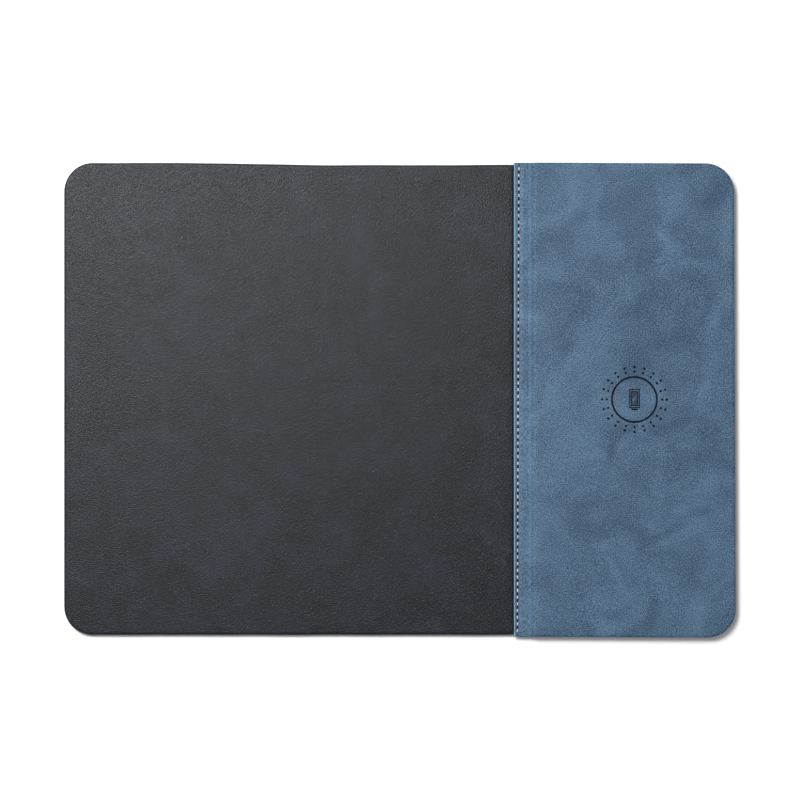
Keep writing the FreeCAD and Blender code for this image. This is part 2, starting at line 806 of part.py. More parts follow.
def main_board():
    body = new_body("main_board")
    half_width = "board_width / 2"
    sketch = new_sketch(body, "Outline", "board_bottom")
    draw_rectangle(sketch, f"coil_centre - {half_width}", f"coil_centre + {half_width}",
                   "board_back - board_depth", "board_back")
    pad(body, sketch, "board")
    half_notch = "(shell_width / 2 + shell_clearance)"
    notch = new_sketch(body, "SocketNotch", BOARD_TOP)
    draw_rectangle(notch, f"coil_centre - {half_notch}", f"coil_centre + {half_notch}",
                   f"{SHELL_BACK} - shell_clearance", "board_back + shell_clearance")
    pocket(body, notch, "board")
    drill_circles(body, "ScrewHoles", BOARD_SCREWS, "board_screw_radius", BOARD_TOP, "board")


def power_socket():
    shell = new_body("usb_c_shell")
    sketch = back_sketch(shell, "Outside", OPENING_FACE)
    draw_slot(sketch, "coil_centre", "port_height", "shell_width", "shell_height")
    draw_slot(sketch, "coil_centre", "port_height", "(shell_width - 2 * shell_wall)",
              "(shell_height - 2 * shell_wall)")
    pad(shell, sketch, "shell_length")
    tongue = new_body("usb_c_tongue")
    block = back_sketch(tongue, "Block", f"{SHELL_BACK} + tongue_block")
    draw_slot(block, "coil_centre", "port_height", "(shell_width - 2 * shell_wall)",
              "(shell_height - 2 * shell_wall)")
    pad(tongue, block, "tongue_block")
    blade = back_sketch(tongue, "Blade", f"{SHELL_BACK} + tongue_block + tongue_length")
    draw_rectangle(blade, "coil_centre - tongue_width / 2", "coil_centre + tongue_width / 2",
                   "port_height - tongue / 2", "port_height + tongue / 2")
    pad(tongue, blade, "tongue_length")
    contacts = []
    middle = f"{SHELL_BACK} + tongue_block + contact_length / 2"
    for bottom in ("port_height + tongue / 2", "port_height - tongue / 2 - contact"):
        for index in range(int(value("contact_count"))):
            across = f"(coil_centre + ({index} - (contact_count - 1) / 2) * contact_pitch)"
            contacts.append(new_box(f"Contact{len(contacts)}", across, f"({middle})", bottom,
                                    "contact_width", "contact_length", "contact"))
    add_group("usb_c_contacts", contacts)


def port_bezel():
    body = new_body("port_bezel")
    sketch = back_sketch(body, "Frame", OPENING_FACE)
    draw_slot(sketch, "coil_centre", "port_height", "bezel_width", "bezel_height")
    draw_slot(sketch, "coil_centre", "port_height", "(shell_width + 2 * shell_clearance)",
              "(shell_height + 2 * shell_clearance)")
    pad(body, sketch, "bezel_depth")


def status_light():
    """A lamp on the board's back edge and the clear rod that carries its light out."""
    across = "(coil_centre + light_offset)"
    lamp = new_box("status_led", across, "(board_back - light_depth / 2)", BOARD_TOP,
                   "light_width", "light_depth", "light_height")
    add_node(lamp, "status_led")
    body = new_body("led_light_pipe")
    sketch = back_sketch(body, "Rod", OPENING_FACE)
    draw_circle(sketch, across, f"{BOARD_TOP} + light_height / 2", "light_pipe_radius")
    pad(body, sketch, f"({OPENING_FACE} - board_back - light_pipe_gap)")


def board_parts():
    chip = new_box("charge_controller", "coil_centre", "controller_row", BOARD_TOP,
                   "controller_side", "controller_side", "controller_height")
    add_node(chip, "charge_controller")
    add_group("power_transistors", [
        new_box(f"Transistor{index}",
                f"(coil_centre + ({index} - transistor_count / 2) * transistor_pitch)",
                "transistor_row", BOARD_TOP, "transistor_side", "transistor_side", "transistor_height")
        for index in range(int(value("transistor_count")))])
    add_group("resonance_capacitors", [
        new_box(f"Resonance{index}", "(coil_centre + resonance_column)",
                f"(resonance_row + {index} * resonance_pitch)", BOARD_TOP,
                "resonance_length", "resonance_width", "resonance_height")
        for index in range(int(value("resonance_count")))])
    add_group("filter_capacitors", [
        new_box(f"Filter{index}", "(coil_centre - filter_column)",
                f"(filter_row + ({index} - (filter_count - 1) / 2) * filter_pitch)", BOARD_TOP,
                "filter_length", "filter_width", "filter_height")
        for index in range(int(value("filter_count")))])
    block = new_box("InductorBlock", "(coil_centre + inductor_column)", "inductor_row", BOARD_TOP,
                    "inductor_side", "inductor_side", "inductor_height")
    document.recompute()
    inductor = document.addObject("Part::Fillet", "input_inductor")
    inductor.Base = block
    radius = value("inductor_edge")
    inductor.Edges = [(number, radius, radius) for number, edge in enumerate(block.Shape.Edges, start=1)
                      if edge.BoundBox.ZLength > radius]
    add_node(inductor, "input_inductor")


def build():
    dark_leather_top()
    mat_layers()
    spine_layers()
    seam_thread("seam_needle_thread", f"({MAT_TOP} + leather)", "stitch_height")
    seam_thread("seam_bobbin_thread", f"({MAT_INSIDE_TOP} - stitch_height)", "stitch_height")
    blue_leather_top()
    add_sheet("charger_base_sheet", TRAY_LEFT, TRAY_RIGHT, TRAY_EDGE, "0", "base_sheet")
    charger_tray()
    charger_lid()
    lid_screws()
    coil_winding()
    coil_backing()
    coil_leads()
    temperature_sensor()
    main_board()
    board_screws()
    power_socket()
    port_bezel()
    status_light()
    board_parts()
    document.recompute()


def check():
    """Stop if any object has failed or any piece has no sound shape."""
    failed = [thing.Name for thing in document.Objects
              if "Invalid" in thing.State or "Error" in thing.State]
    unsound = [thing.Label for thing in nodes if thing.Shape.isNull() or not thing.Shape.isValid()]
    if failed or unsound:
        raise RuntimeError(f"failed: {failed}, unsound: {unsound}")


def write():
    os.makedirs("parts", exist_ok=True)
    for thing in nodes:
        thing.Shape.exportStep(f"parts/{thing.Label}.step")
        print(f"{thing.Label:26s} solids {len(thing.Shape.Solids):3d}  volume {thing.Shape.Volume:10.2f}")


build()
check()
write()
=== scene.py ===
import json
import math
import random

import bpy
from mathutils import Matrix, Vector, noise
from mathutils.geometry import delaunay_2d_cdt


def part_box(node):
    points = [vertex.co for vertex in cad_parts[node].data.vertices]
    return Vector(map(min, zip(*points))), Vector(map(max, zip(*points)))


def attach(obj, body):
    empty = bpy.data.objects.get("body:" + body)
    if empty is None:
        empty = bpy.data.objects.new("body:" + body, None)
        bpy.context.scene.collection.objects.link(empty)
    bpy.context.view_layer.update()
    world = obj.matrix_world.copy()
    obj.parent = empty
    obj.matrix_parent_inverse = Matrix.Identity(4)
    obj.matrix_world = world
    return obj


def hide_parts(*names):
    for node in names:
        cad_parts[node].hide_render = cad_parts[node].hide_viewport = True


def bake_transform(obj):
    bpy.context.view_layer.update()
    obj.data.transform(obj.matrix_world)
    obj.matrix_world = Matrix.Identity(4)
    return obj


# A folding desk mat with a wireless charger under its blue third.
# Sizes are in millimetres until a mesh is made, and metres from then on.

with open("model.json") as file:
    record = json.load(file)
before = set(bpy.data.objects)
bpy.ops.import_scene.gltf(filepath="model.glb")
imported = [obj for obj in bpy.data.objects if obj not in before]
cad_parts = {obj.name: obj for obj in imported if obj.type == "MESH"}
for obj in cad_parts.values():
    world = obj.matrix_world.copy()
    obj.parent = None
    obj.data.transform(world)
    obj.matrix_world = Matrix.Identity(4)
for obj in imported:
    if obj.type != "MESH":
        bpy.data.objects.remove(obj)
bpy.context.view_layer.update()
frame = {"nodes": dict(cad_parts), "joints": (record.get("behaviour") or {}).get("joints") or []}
MM = 0.001
random.seed(7)


# Places read from the frame, in millimetres

def corners(node):
    low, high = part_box(node)
    return low / MM, high / MM


def joint_place(name):
    return next(Vector(joint["pos_m"]) / MM for joint in frame["joints"] if joint["name"] == name)


DARK_LOW, DARK_HIGH = corners("dark_leather_top")
UNDERLAP_LOW, UNDERLAP_HIGH = corners("dark_leather_underlap")
STRIP_LOW, STRIP_HIGH = corners("blue_leather_seam_strip")
PANEL_LOW, PANEL_HIGH = corners("blue_leather_top")
LID_LOW, LID_HIGH = corners("charger_lid")
STITCH_LOW, STITCH_HIGH = corners("seam_needle_thread")
BEZEL_LOW, BEZEL_HIGH = corners("port_bezel")
PIPE_LOW, PIPE_HIGH = corners("led_light_pipe")
COIL_LOW, COIL_HIGH = corners("coil_winding")
FIRST_FOLD = joint_place("fold_at_mat")
SECOND_FOLD = joint_place("fold_at_panel")

LEATHER = STRIP_HIGH.z - STRIP_LOW.z
MAT_EDGE = DARK_HIGH.y
PANEL_EDGE = PANEL_HIGH.y
CORNER_RADIUS = 13.5
RIM_RADIUS = 1.2
SYMBOL_SHIFT = Vector((0.2, 0.3, 0.0))
SYMBOL = (COIL_LOW + COIL_HIGH) / 2 + SYMBOL_SHIFT


# Heights and distances

SEED_STEP = 7.31


def smooth(low, high, amount):
    """0 below low, 1 above high, and a smooth turn between them."""
    share = min(max((amount - low) / (high - low), 0.0), 1.0)
    return share * share * (3.0 - 2.0 * share)


def wave(x, y, size, seed):
    """A gentle random surface from -1 to 1, with swells about size millimetres across."""
    return noise.noise(Vector((x / size, y / size, seed * SEED_STEP)))


def swells(x, y, layers):
    """Several waves added up. Each layer is a height, a size and a seed."""
    return sum(height * wave(x, y, size, seed) for height, size, seed in layers)


def rim_distance(x, y, side, edge, radius):
    """How far a point is inside the outline of a tab, which is round at side and open the other way."""
    inwards = -1.0 if side > 0 else 1.0
    across = (x - side) * inwards
    along = edge - abs(y)
    if across < radius and along < radius:
        return radius - math.hypot(radius - across, radius - along)
    return min(across, along)


def rim_drop(distance, radius):
    """How far the rounded edge lies below the top at a distance inside the outline."""
    share = min(max(distance / radius, 0.0), 1.0)
    return radius * (1.0 - math.sqrt(1.0 - (1.0 - share) ** 2))


# A flat plan of points and lines, which becomes a closed skin between a top and a bottom surface

INSIDE_ONLY = 1
MERGE_DISTANCE = 1e-5
CRISP_ANGLE = 0.7


class Plan:
    """Points of a sheet seen from above. Each has a dip below the top surface and a share of black."""

    def __init__(self):
        self.points = []
        self.edges = []

    def add_point(self, x, y, dip=0.0, black=0.0):
        self.points.append((x, y, dip, black))
        return len(self.points) - 1

    def add_line(self, path, closed=False, dip=0.0, black=0.0):
        places = [self.add_point(x, y, dip, black) for x, y in path]
        self.edges += list(zip(places, places[1:]))
        if closed:
            self.edges.append((places[-1], places[0]))

    def triangles(self):
        """The plan's points and its triangles inside the outermost line, all turning the same way."""
        flat = [Vector(point[:2]) for point in self.points]
        found = delaunay_2d_cdt(flat, self.edges, [], INSIDE_ONLY, MERGE_DISTANCE)
        places, faces, sources = found[0], found[2], found[3]
        details = [self.points[source[0]][2:] if source else (0.0, 0.0) for source in sources]
        turned = []
        for face in faces:
            first, second, third = (places[corner] for corner in face)
            side = (second - first).cross(third - first)
            turned.append(tuple(face) if side > 0 else tuple(reversed(face)))
        return places, turned, details


def bare_piece(name, points, faces):
    mesh = bpy.data.meshes.new(name)
    mesh.from_pydata(points, [], faces)
    mesh.update()
    piece = bpy.data.objects.new(name, mesh)
    bpy.context.scene.collection.objects.link(piece)
    return piece


def make_skin(name, plan, top, bottom, warp=None):
    """A closed solid: the plan's triangles at the top and bottom heights, joined round the outline.

    warp(x, y, low) moves a point of the top, or of the bottom if low is true, sideways.
    """
    places, faces, details = plan.triangles()
    count = len(places)
    upper = []
    lower = []
    black = []
    for place, (dip, share) in zip(places, details):
        x, y = place.x, place.y
        high = warp(x, y, False) if warp else (x, y)
        low = warp(x, y, True) if warp else (x, y)
        upper.append((high[0] * MM, high[1] * MM, (top(x, y) - dip) * MM))
        lower.append((low[0] * MM, low[1] * MM, bottom(x, y) * MM))
        black.append(share)
    directed = {(face[index], face[(index + 1) % 3]) for face in faces for index in range(3)}
    border = [(a, b) for a, b in directed if (b, a) not in directed]
    skin = list(faces)
    skin += [tuple(corner + count for corner in reversed(face)) for face in faces]
    skin += [(a + count, b + count, b, a) for a, b in sorted(border)]
    piece = bare_piece(name, upper + lower, skin)
    attribute = piece.data.attributes.new("black", "FLOAT", "POINT")
    attribute.data.foreach_set("value", black + [0.0] * count)
    return piece


def finish_shape(piece):
    """Smooth shading with crisp edges, and each point's place at rest for its material to follow."""
    mesh = piece.data
    mesh.shade_smooth()
    mesh.set_sharp_from_angle(angle=CRISP_ANGLE)
    rest = mesh.attributes.new("rest", "FLOAT_VECTOR", "POINT")
    rest.data.foreach_set("vector", [amount for vertex in mesh.vertices for amount in vertex.co])


# Outlines

NEAR = 0.01
EDGE_STEP = 2.0
END_STEP = 1.5
TURN_STEP = 0.12
LINE_ROOM = 0.7
SCATTER = 0.2


def steps(start, stop, size):
    """Evenly spaced numbers from start to stop, no further apart than size."""
    count = max(1, math.ceil(abs(stop - start) / size))
    return [start + (stop - start) * index / count for index in range(count + 1)]


def stations(straight, turn, across):
    """Places along a tab's front or back edge: one for each edge step, and one at each line across."""
    even = steps(straight, turn, EDGE_STEP)
    coarse = [x for x in even if all(abs(x - line) > LINE_ROOM for line in across)]
    places = sorted(set(coarse) | set(across) | {straight, turn})
    return places if turn > straight else places[::-1]


def tab_path(straight, side, edge, radius, inset, across):
    """The open outline of a tab from its front straight end, round the far side, to its back end."""
    sign = 1.0 if side > straight else -1.0
    turn_x = side - sign * radius
    turn_y = edge - radius
    bend = radius - inset
    along = stations(straight, turn_x, across)
    path = [(x, -(edge - inset)) for x in along]
    for part in steps(-math.pi / 2, 0.0, TURN_STEP)[1:]:
        path.append((turn_x + sign * bend * math.cos(part), -turn_y + bend * math.sin(part)))
    path += [(side - sign * inset, y) for y in steps(-turn_y, turn_y, EDGE_STEP)[1:]]
    for part in steps(0.0, math.pi / 2, TURN_STEP)[1:]:
        path.append((turn_x + sign * bend * math.cos(part), turn_y + bend * math.sin(part)))
    path += [(x, edge - inset) for x in along[::-1][1:]]
    return path


def add_tab(plan, straight, side, edge, radius, insets, across):
    """A tab's outline, the same at each inset, and lines from front to back at the places across."""
    reach = edge - max(insets)
    outline = tab_path(straight, side, edge, radius, 0.0, across)
    outline += [(straight, y) for y in steps(reach, -reach, END_STEP)]
    plan.add_line(outline, closed=True)
    for inset in insets:
        plan.add_line(tab_path(straight, side, edge, radius, inset, across))
    for x in across:
        if abs(x - straight) > NEAR:
            plan.add_line([(x, y) for y in steps(-reach, reach, EDGE_STEP)[1:-1]])


def fill(plan, left, right, edge, size, free):
    """Points on a loose grid wherever free says that nothing else is near."""
    for x in steps(left, right, size):
        for y in steps(-edge, edge, size):
            spot_x = x + random.uniform(-SCATTER, SCATTER) * size
            spot_y = y + random.uniform(-SCATTER, SCATTER) * size
            if free(spot_x, spot_y):
                plan.add_point(spot_x, spot_y)


# Dark leather

TURN_UNDER = 0.4
RIM_INSETS = [0.1, 0.25, TURN_UNDER, 0.6, LEATHER, LEATHER + 0.05, RIM_RADIUS, 1.8]
RIM_BAND = 2.6
LAP = STRIP_LOW.x
DARK_ROOM = 0.04
DARK_SWELLS = ((0.05, 34.0, 1), (0.025, 9.0, 2))
DARK_FLAT_RIM = (0.5, 6.0)
DARK_GRID = 2.6
BEND_ROOM = 0.9
END_ROOM = 0.8
SEAM_PULL = 0.08
SEAM_PULL_WIDTH = 3.0
UNDER_BLUE_START = (0.3, 0.7)
UNDER_BLUE_DIP = 0.15
# Painted shade beside the seam fades out over this span under the blue.
SEAM_SHADE_FADE = (0.4, 1.2)

# The back edge stands out by BOW at the left. It comes in by BOW_IN between two places, and goes out
# again by BOW_OUT from a third place to the seam. Both edges wander a little.
BOW, BOW_IN, BOW_OUT = 0.75, 1.0, 0.25
BOW_IN_FROM, BOW_IN_TO, BOW_OUT_FROM = -105.0, -30.0, 30.0
WANDER, WANDER_SIZE, WANDER_SEED, WANDER_STRETCH = 0.15, 22.0, 3, 30.0


def wall_bottom(distance, roof):
    """The underside of a cover: its turned-down wall on the desk, and the roof of the room inside."""
    if distance < LEATHER + NEAR:
        return rim_drop(distance, TURN_UNDER)
    return roof


def under_blue(x):
    """0 on the open dark leather, and 1 from just before it goes under the blue."""
    return 1.0 - smooth(*UNDER_BLUE_START, LAP - x)


def dark_leather():
    side, straight = DARK_LOW.x, UNDERLAP_HIGH.x

    def distance(x, y):
        return rim_distance(x, y, side, MAT_EDGE, CORNER_RADIUS)

    def top(x, y):
        inside = distance(x, y)
        swell = swells(x, y, DARK_SWELLS) * smooth(*DARK_FLAT_RIM, inside)
        seam_pull = SEAM_PULL * smooth(LAP - SEAM_PULL_WIDTH, LAP, x)
        return (DARK_HIGH.z - DARK_ROOM + swell - rim_drop(inside, RIM_RADIUS)
                - seam_pull - UNDER_BLUE_DIP * under_blue(x))

    def bottom(x, y):
        return wall_bottom(distance(x, y), UNDERLAP_LOW.z)

    def warp(x, y, low):
        bow = BOW - BOW_IN * smooth(BOW_IN_FROM, BOW_IN_TO, x) + BOW_OUT * smooth(BOW_OUT_FROM, LAP, x)
        wander = WANDER * wave(x, y / WANDER_STRETCH, WANDER_SIZE, WANDER_SEED)
        stretch = (bow if y > 0 else 0.0) + wander
        return x, y * (1.0 + stretch / MAT_EDGE)

    def free(x, y):
        at_bend = bend[0] - BEND_ROOM < x < bend[-1] + BEND_ROOM
        return distance(x, y) > RIM_BAND and x < straight - END_ROOM and not at_bend

    plan = Plan()
    bend = steps(FIRST_FOLD.x - 2.0, LAP - 0.1, 0.3) + [LAP] + [LAP + reach for reach in SEAM_SHADE_FADE]
    add_tab(plan, straight, side, MAT_EDGE, CORNER_RADIUS, RIM_INSETS, bend)
    fill(plan, side, straight, MAT_EDGE, DARK_GRID, free)
    piece = make_skin("dark_leather_cover", plan, top, bottom, warp)
    finish_shape(piece)
    places = [vertex.co.x / MM for vertex in piece.data.vertices]
    # Painted shade: the black attribute darkens the dark leather in a thin band where it runs under the
    # blue strip's cut edge, standing in for the shadow there.
    grime_and_shade = [under_blue(x) * (1.0 - smooth(*SEAM_SHADE_FADE, x - LAP)) for x in places]
    piece.data.attributes["black"].data.foreach_set("value", grime_and_shade)
    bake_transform(piece)
    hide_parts("dark_leather_top", "dark_leather_underlap")
    return piece


# Seam

STITCH_SLANT = 0.35
STITCH_COUNT = 70
STITCH_PITCH = 3.14
DIMPLE_LENGTH = 2.15
DIMPLE_WIDTH = 0.82
DIMPLE_DEPTHS = (0.3, 0.42)
DIMPLE_SIDES = 14
DIMPLE_SHADE = 0.2
THREAD_RINGS = 16
THREAD_SIDES = 8
PLY_RADIUS = 0.155
PLY_SPREAD = 0.62
PLY_SQUASH = 0.8
PLY_TURNS = 1.6
PLY_START = 0.6
FOOT_PINCH = 0.75
STITCH_ARCH = 0.6
STITCH_RISE = 0.34
STITCH_FOOT = -0.3
STITCH_ANGLE, STITCH_LENGTH = -0.05, 1.5
LOCK_ANGLE, LOCK_LENGTH, LOCK_PLACE = -0.4, 1.9, 0.55
UNEVEN_PLACE, UNEVEN_ANGLE, UNEVEN_LENGTH = 0.05, 0.08, 0.1


def stitch_x(y):
    """The row of stitches isn't quite parallel to the leather's edge."""
    return (STITCH_LOW.x + STITCH_HIGH.x) / 2 + STITCH_SLANT * y / MAT_EDGE


def stitch_rows():
    return [(index - (STITCH_COUNT - 1) / 2) * STITCH_PITCH for index in range(STITCH_COUNT)]


def add_ring(plan, centre, radius_x, radius_y, dip, black, count):
    """An oval of count points about the centre."""
    path = [(centre[0] + radius_x * math.cos(2 * math.pi * index / count),
             centre[1] + radius_y * math.sin(2 * math.pi * index / count)) for index in range(count)]
    plan.add_line(path, closed=True, dip=dip, black=black)


def add_dimples(plan):
    """The needle holes between the stitches, drawn in by the thread. Their floors are painted black and
    their rims a little darker, as painted shade.
    """
    for row in stitch_rows()[1:]:
        y = row - STITCH_PITCH / 2
        centre = (stitch_x(y), y)
        add_ring(plan, centre, DIMPLE_WIDTH / 2, DIMPLE_LENGTH / 2, 0.0, DIMPLE_SHADE, DIMPLE_SIDES)
        add_ring(plan, centre, DIMPLE_WIDTH / 2 - 0.08, DIMPLE_LENGTH / 2 - 0.12,
                 DIMPLE_DEPTHS[0], 1.0, DIMPLE_SIDES - 2)
        plan.add_point(*centre, dip=DIMPLE_DEPTHS[1], black=1.0)


def add_tube_faces(faces, first, rings, around):
    """The sides and the two ends of a tube whose rings of points start at the place first."""
    for ring in range(rings):
        for side in range(around):
            here = first + ring * around + side
            beside = first + ring * around + (side + 1) % around
            faces.append((here, beside, beside + around, here + around))
    faces.append(tuple(first + side for side in range(around))[::-1])
    last = first + rings * around
    faces.append(tuple(last + side for side in range(around)))


def add_twisted_thread(points, faces, middle, angle, length):
    """Two plies twisted round an arc from foot to foot, added to the points and faces."""
    direction = Vector((math.sin(angle), math.cos(angle), 0.0))
    across = Vector((direction.y, -direction.x, 0.0))
    up = Vector((0.0, 0.0, 1.0))
    for ply in (0.0, math.pi):
        first = len(points)
        for ring in range(THREAD_RINGS + 1):
            share = ring / THREAD_RINGS
            lift = STITCH_FOOT + STITCH_RISE * math.sin(math.pi * share) ** STITCH_ARCH
            twist = ply + 2 * math.pi * PLY_TURNS * share + PLY_START
            spine = middle + direction * (share - 0.5) * length + up * lift
            turned = across * math.cos(twist) + up * PLY_SQUASH * math.sin(twist)
            spine += turned * PLY_RADIUS * PLY_SPREAD
            pinch = FOOT_PINCH + (1.0 - FOOT_PINCH) * math.sqrt(math.sin(math.pi * share))
            for side in range(THREAD_SIDES):
                turn = 2 * math.pi * side / THREAD_SIDES
                offset = (across * math.cos(turn) + up * math.sin(turn)) * PLY_RADIUS * pinch
                points.append((spine + offset) * MM)
        add_tube_faces(faces, first, THREAD_RINGS, THREAD_SIDES)


def stitch_piece(name, rows, angle, length):
    """One stitch at each row, a little uneven, and turned by about the angle."""
    points = []
    faces = []
    for row in rows:
        x = stitch_x(row) + random.uniform(-UNEVEN_PLACE, UNEVEN_PLACE)
        turn = angle + random.uniform(-UNEVEN_ANGLE, UNEVEN_ANGLE)
        reach = length + random.uniform(-UNEVEN_LENGTH, UNEVEN_LENGTH)
        add_twisted_thread(points, faces, Vector((x, row, STRIP_HIGH.z)), turn, reach)
    piece = bare_piece(name, points, faces)
    finish_shape(piece)
    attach(piece, "spine")
    return piece


def seam_stitches():
    piece = stitch_piece("seam_stitches", stitch_rows(), STITCH_ANGLE, STITCH_LENGTH)
    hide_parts("seam_needle_thread")
    return piece


def lock_stitches():
    """The dark slanting stitch that locks each end of the seam."""
    last = stitch_rows()[-1] + LOCK_PLACE * STITCH_PITCH
    return stitch_piece("lock_stitches", [-last, last], LOCK_ANGLE, LOCK_LENGTH)


# Pressed charging symbol

RING_RADIUS = 10.95
RING_LINE = 0.84
DOT_CIRCLES = (13.0, 15.2)
DOT_COUNT = 20
DOT_RADIUS = 0.6
DOT_SIDES = 12
BATTERY = (4.9, 8.9)
BATTERY_LINE = 0.46
CELL = (3.4, 7.0)
CELL_LINE = 0.36
TERMINAL = (3.0, 0.8)
CELL_BLACK = 0.74
BATTERY_RISE = 0.4
BOLT = [(0.75, 1.9), (-0.95, -0.3), (-0.1, -0.3), (-0.75, -1.9), (0.95, 0.3), (0.1, 0.3)]
BOLT_FOOT = 1.1
BOLT_TOP = 0.98
PRESS = 0.2
BEVEL = 0.09
SYMBOL_REACH = DOT_CIRCLES[1] + 1.0
CIRCLE_SIDES = 120
SIDE_STEP = 0.5


def circle(radius):
    """A circle round the symbol's centre."""
    angles = [2 * math.pi * index / CIRCLE_SIDES for index in range(CIRCLE_SIDES)]
    return [(SYMBOL.x + radius * math.cos(angle), SYMBOL.y + radius * math.sin(angle)) for angle in angles]


def rectangle(width, length, middle_y):
    """A closed rectangle, middle_y behind the symbol's centre, from its front left corner."""
    left, right = SYMBOL.x - width / 2, SYMBOL.x + width / 2
    front, back = SYMBOL.y + middle_y - length / 2, SYMBOL.y + middle_y + length / 2
    path = [(x, front) for x in steps(left, right, SIDE_STEP)[:-1]]
    path += [(right, y) for y in steps(front, back, SIDE_STEP)[:-1]]
    path += [(x, back) for x in steps(right, left, SIDE_STEP)[:-1]]
    path += [(left, y) for y in steps(back, front, SIDE_STEP)[:-1]]
    return path


def add_groove(plan, shape, outer, inner):
    """A pressed line between two outlines: shape(grow) is the outline grown by an amount."""
    plan.add_line(shape(outer + BEVEL), closed=True)
    plan.add_line(shape(outer - BEVEL), closed=True, dip=PRESS, black=1.0)
    plan.add_line(shape(inner + BEVEL), closed=True, dip=PRESS, black=1.0)
    plan.add_line(shape(inner - BEVEL), closed=True)


def add_pressed_rectangle(plan, width, length, middle_y):
    """A black rectangle pressed in flat."""
    plan.add_line(rectangle(width + BEVEL, length + BEVEL, middle_y), closed=True)
    floor = rectangle(width - BEVEL, length - BEVEL, middle_y)
    plan.add_line(floor, closed=True, dip=PRESS, black=1.0)


def add_bolt(plan):
    """A small bolt left standing in the pressed cell."""
    for size, dip, black in ((BOLT_FOOT, PRESS * 0.6, CELL_BLACK), (BOLT_TOP, 0.02, 0.0)):
        plan.add_line([(SYMBOL.x + x * size, SYMBOL.y + BATTERY_RISE + y * size) for x, y in BOLT],
                      closed=True, dip=dip, black=black)


def add_symbol(plan):
    """A ring, two circles of dots, and a battery with a bolt."""
    add_groove(plan, circle, RING_RADIUS, RING_RADIUS - RING_LINE)
    for radius in DOT_CIRCLES:
        for index in range(DOT_COUNT):
            angle = 2 * math.pi * index / DOT_COUNT + math.pi / 2
            centre = (SYMBOL.x + radius * math.cos(angle), SYMBOL.y + radius * math.sin(angle))
            rim, floor = DOT_RADIUS + 0.05, DOT_RADIUS - 0.1
            add_ring(plan, centre, rim, rim, 0.0, 0.0, DOT_SIDES)
            add_ring(plan, centre, floor, floor, PRESS * 0.8, 1.0, DOT_SIDES - 2)
            plan.add_point(*centre, dip=PRESS, black=1.0)
    width, length = BATTERY
    add_groove(plan, lambda grow: rectangle(width + 2 * grow, length + 2 * grow, BATTERY_RISE),
               0.0, -BATTERY_LINE)
    width, length = CELL
    add_pressed_rectangle(plan, width, length, BATTERY_RISE)
    for inset, dip, black in ((CELL_LINE, PRESS, 1.0), (CELL_LINE + BEVEL, PRESS * 0.6, CELL_BLACK)):
        inner = rectangle(width - 2 * inset, length - 2 * inset, BATTERY_RISE)
        plan.add_line(inner, closed=True, dip=dip, black=black)
    add_bolt(plan)
    middle = BATTERY_RISE - (BATTERY[1] + TERMINAL[1]) / 2 - 2 * BEVEL
    add_pressed_rectangle(plan, *TERMINAL, middle)


# Blue leather

RAMP_END = 64.0
CREASE = 61.2
PANEL_WALL = PANEL_LOW.x
STRIP_RIM = 0.45
EDGE_ROUND = 0.25
CUT_SLOPE = 0.04
BLUE_ROOM = 0.05
BLUE_SWELLS = ((0.07, 30.0, 4), (0.035, 8.0, 5))
BLUE_FLAT_RIM = (0.5, 5.0)
STRIP_SWELL = 0.3
FULL_SWELL = (60.0, 66.0)
GROOVE_DEPTH, GROOVE_WIDTH = 0.2, 0.95
LIP_HEIGHT, LIP_WIDTH, LIP_PLACE = 0.06, 0.3, 0.4
PUFF_HEIGHT, PUFF_WIDTH, PUFF_PLACE = 0.1, 0.8, 2.2
CREASE_DEPTH, CREASE_PLACE = 0.08, 0.75
CREASE_RIDGE, CREASE_WIDTH = 0.1, 0.3
# Painted highlight on the cut edge, painted light on the seam strip, and a crease that is partly rubbed
# pale and partly painted highlight.
EDGE_HIGHLIGHT_PLACE, EDGE_HIGHLIGHT_WIDTH = 0.2, 0.22
CREASE_HIGHLIGHT_AND_WEAR, CREASE_PALING_WIDTH = 0.14, 0.35
STRIP_PAINTED_LIGHT, STRIP_PAINTED_LIGHT_FADE = 0.07, (CREASE - 2.0, CREASE + 5.0)
BESIDE_STITCHES = (-0.85, -0.6, 0.6, 0.85, 1.2, 1.6, 2.0)
BESIDE_FOLD = [58.3, 58.7]
BLUE_GRID = 2.4
RING_ROOM = 1.6
BATTERY_ROOM = (3.2, 6.4)
OPENING_ROOM = Vector((0.1, 1.5, 0.1))
PORT_ROUND = 1.4
LIGHT_ROUND = 0.8

# The panel's right-hand edge leans to the left at its back end, and as much to the right at its front
# end. All of it is also shifted a little, to the left and to the front.
LEAN = 0.45
SHIFT_LEFT = 0.15
SHIFT_FRONT = 0.35


def panel_roof(x):
    """The underside of the leather: flat on the seam, then up the ramp, then flat on the lid."""
    return min(max(LID_HIGH.z - (LID_LOW.x - x), STRIP_LOW.z), LID_HIGH.z)


def hump(offset, width):
    """A round bump of height 1 at no offset, which fades out over about two widths."""
    return math.exp(-(offset / width) ** 2)


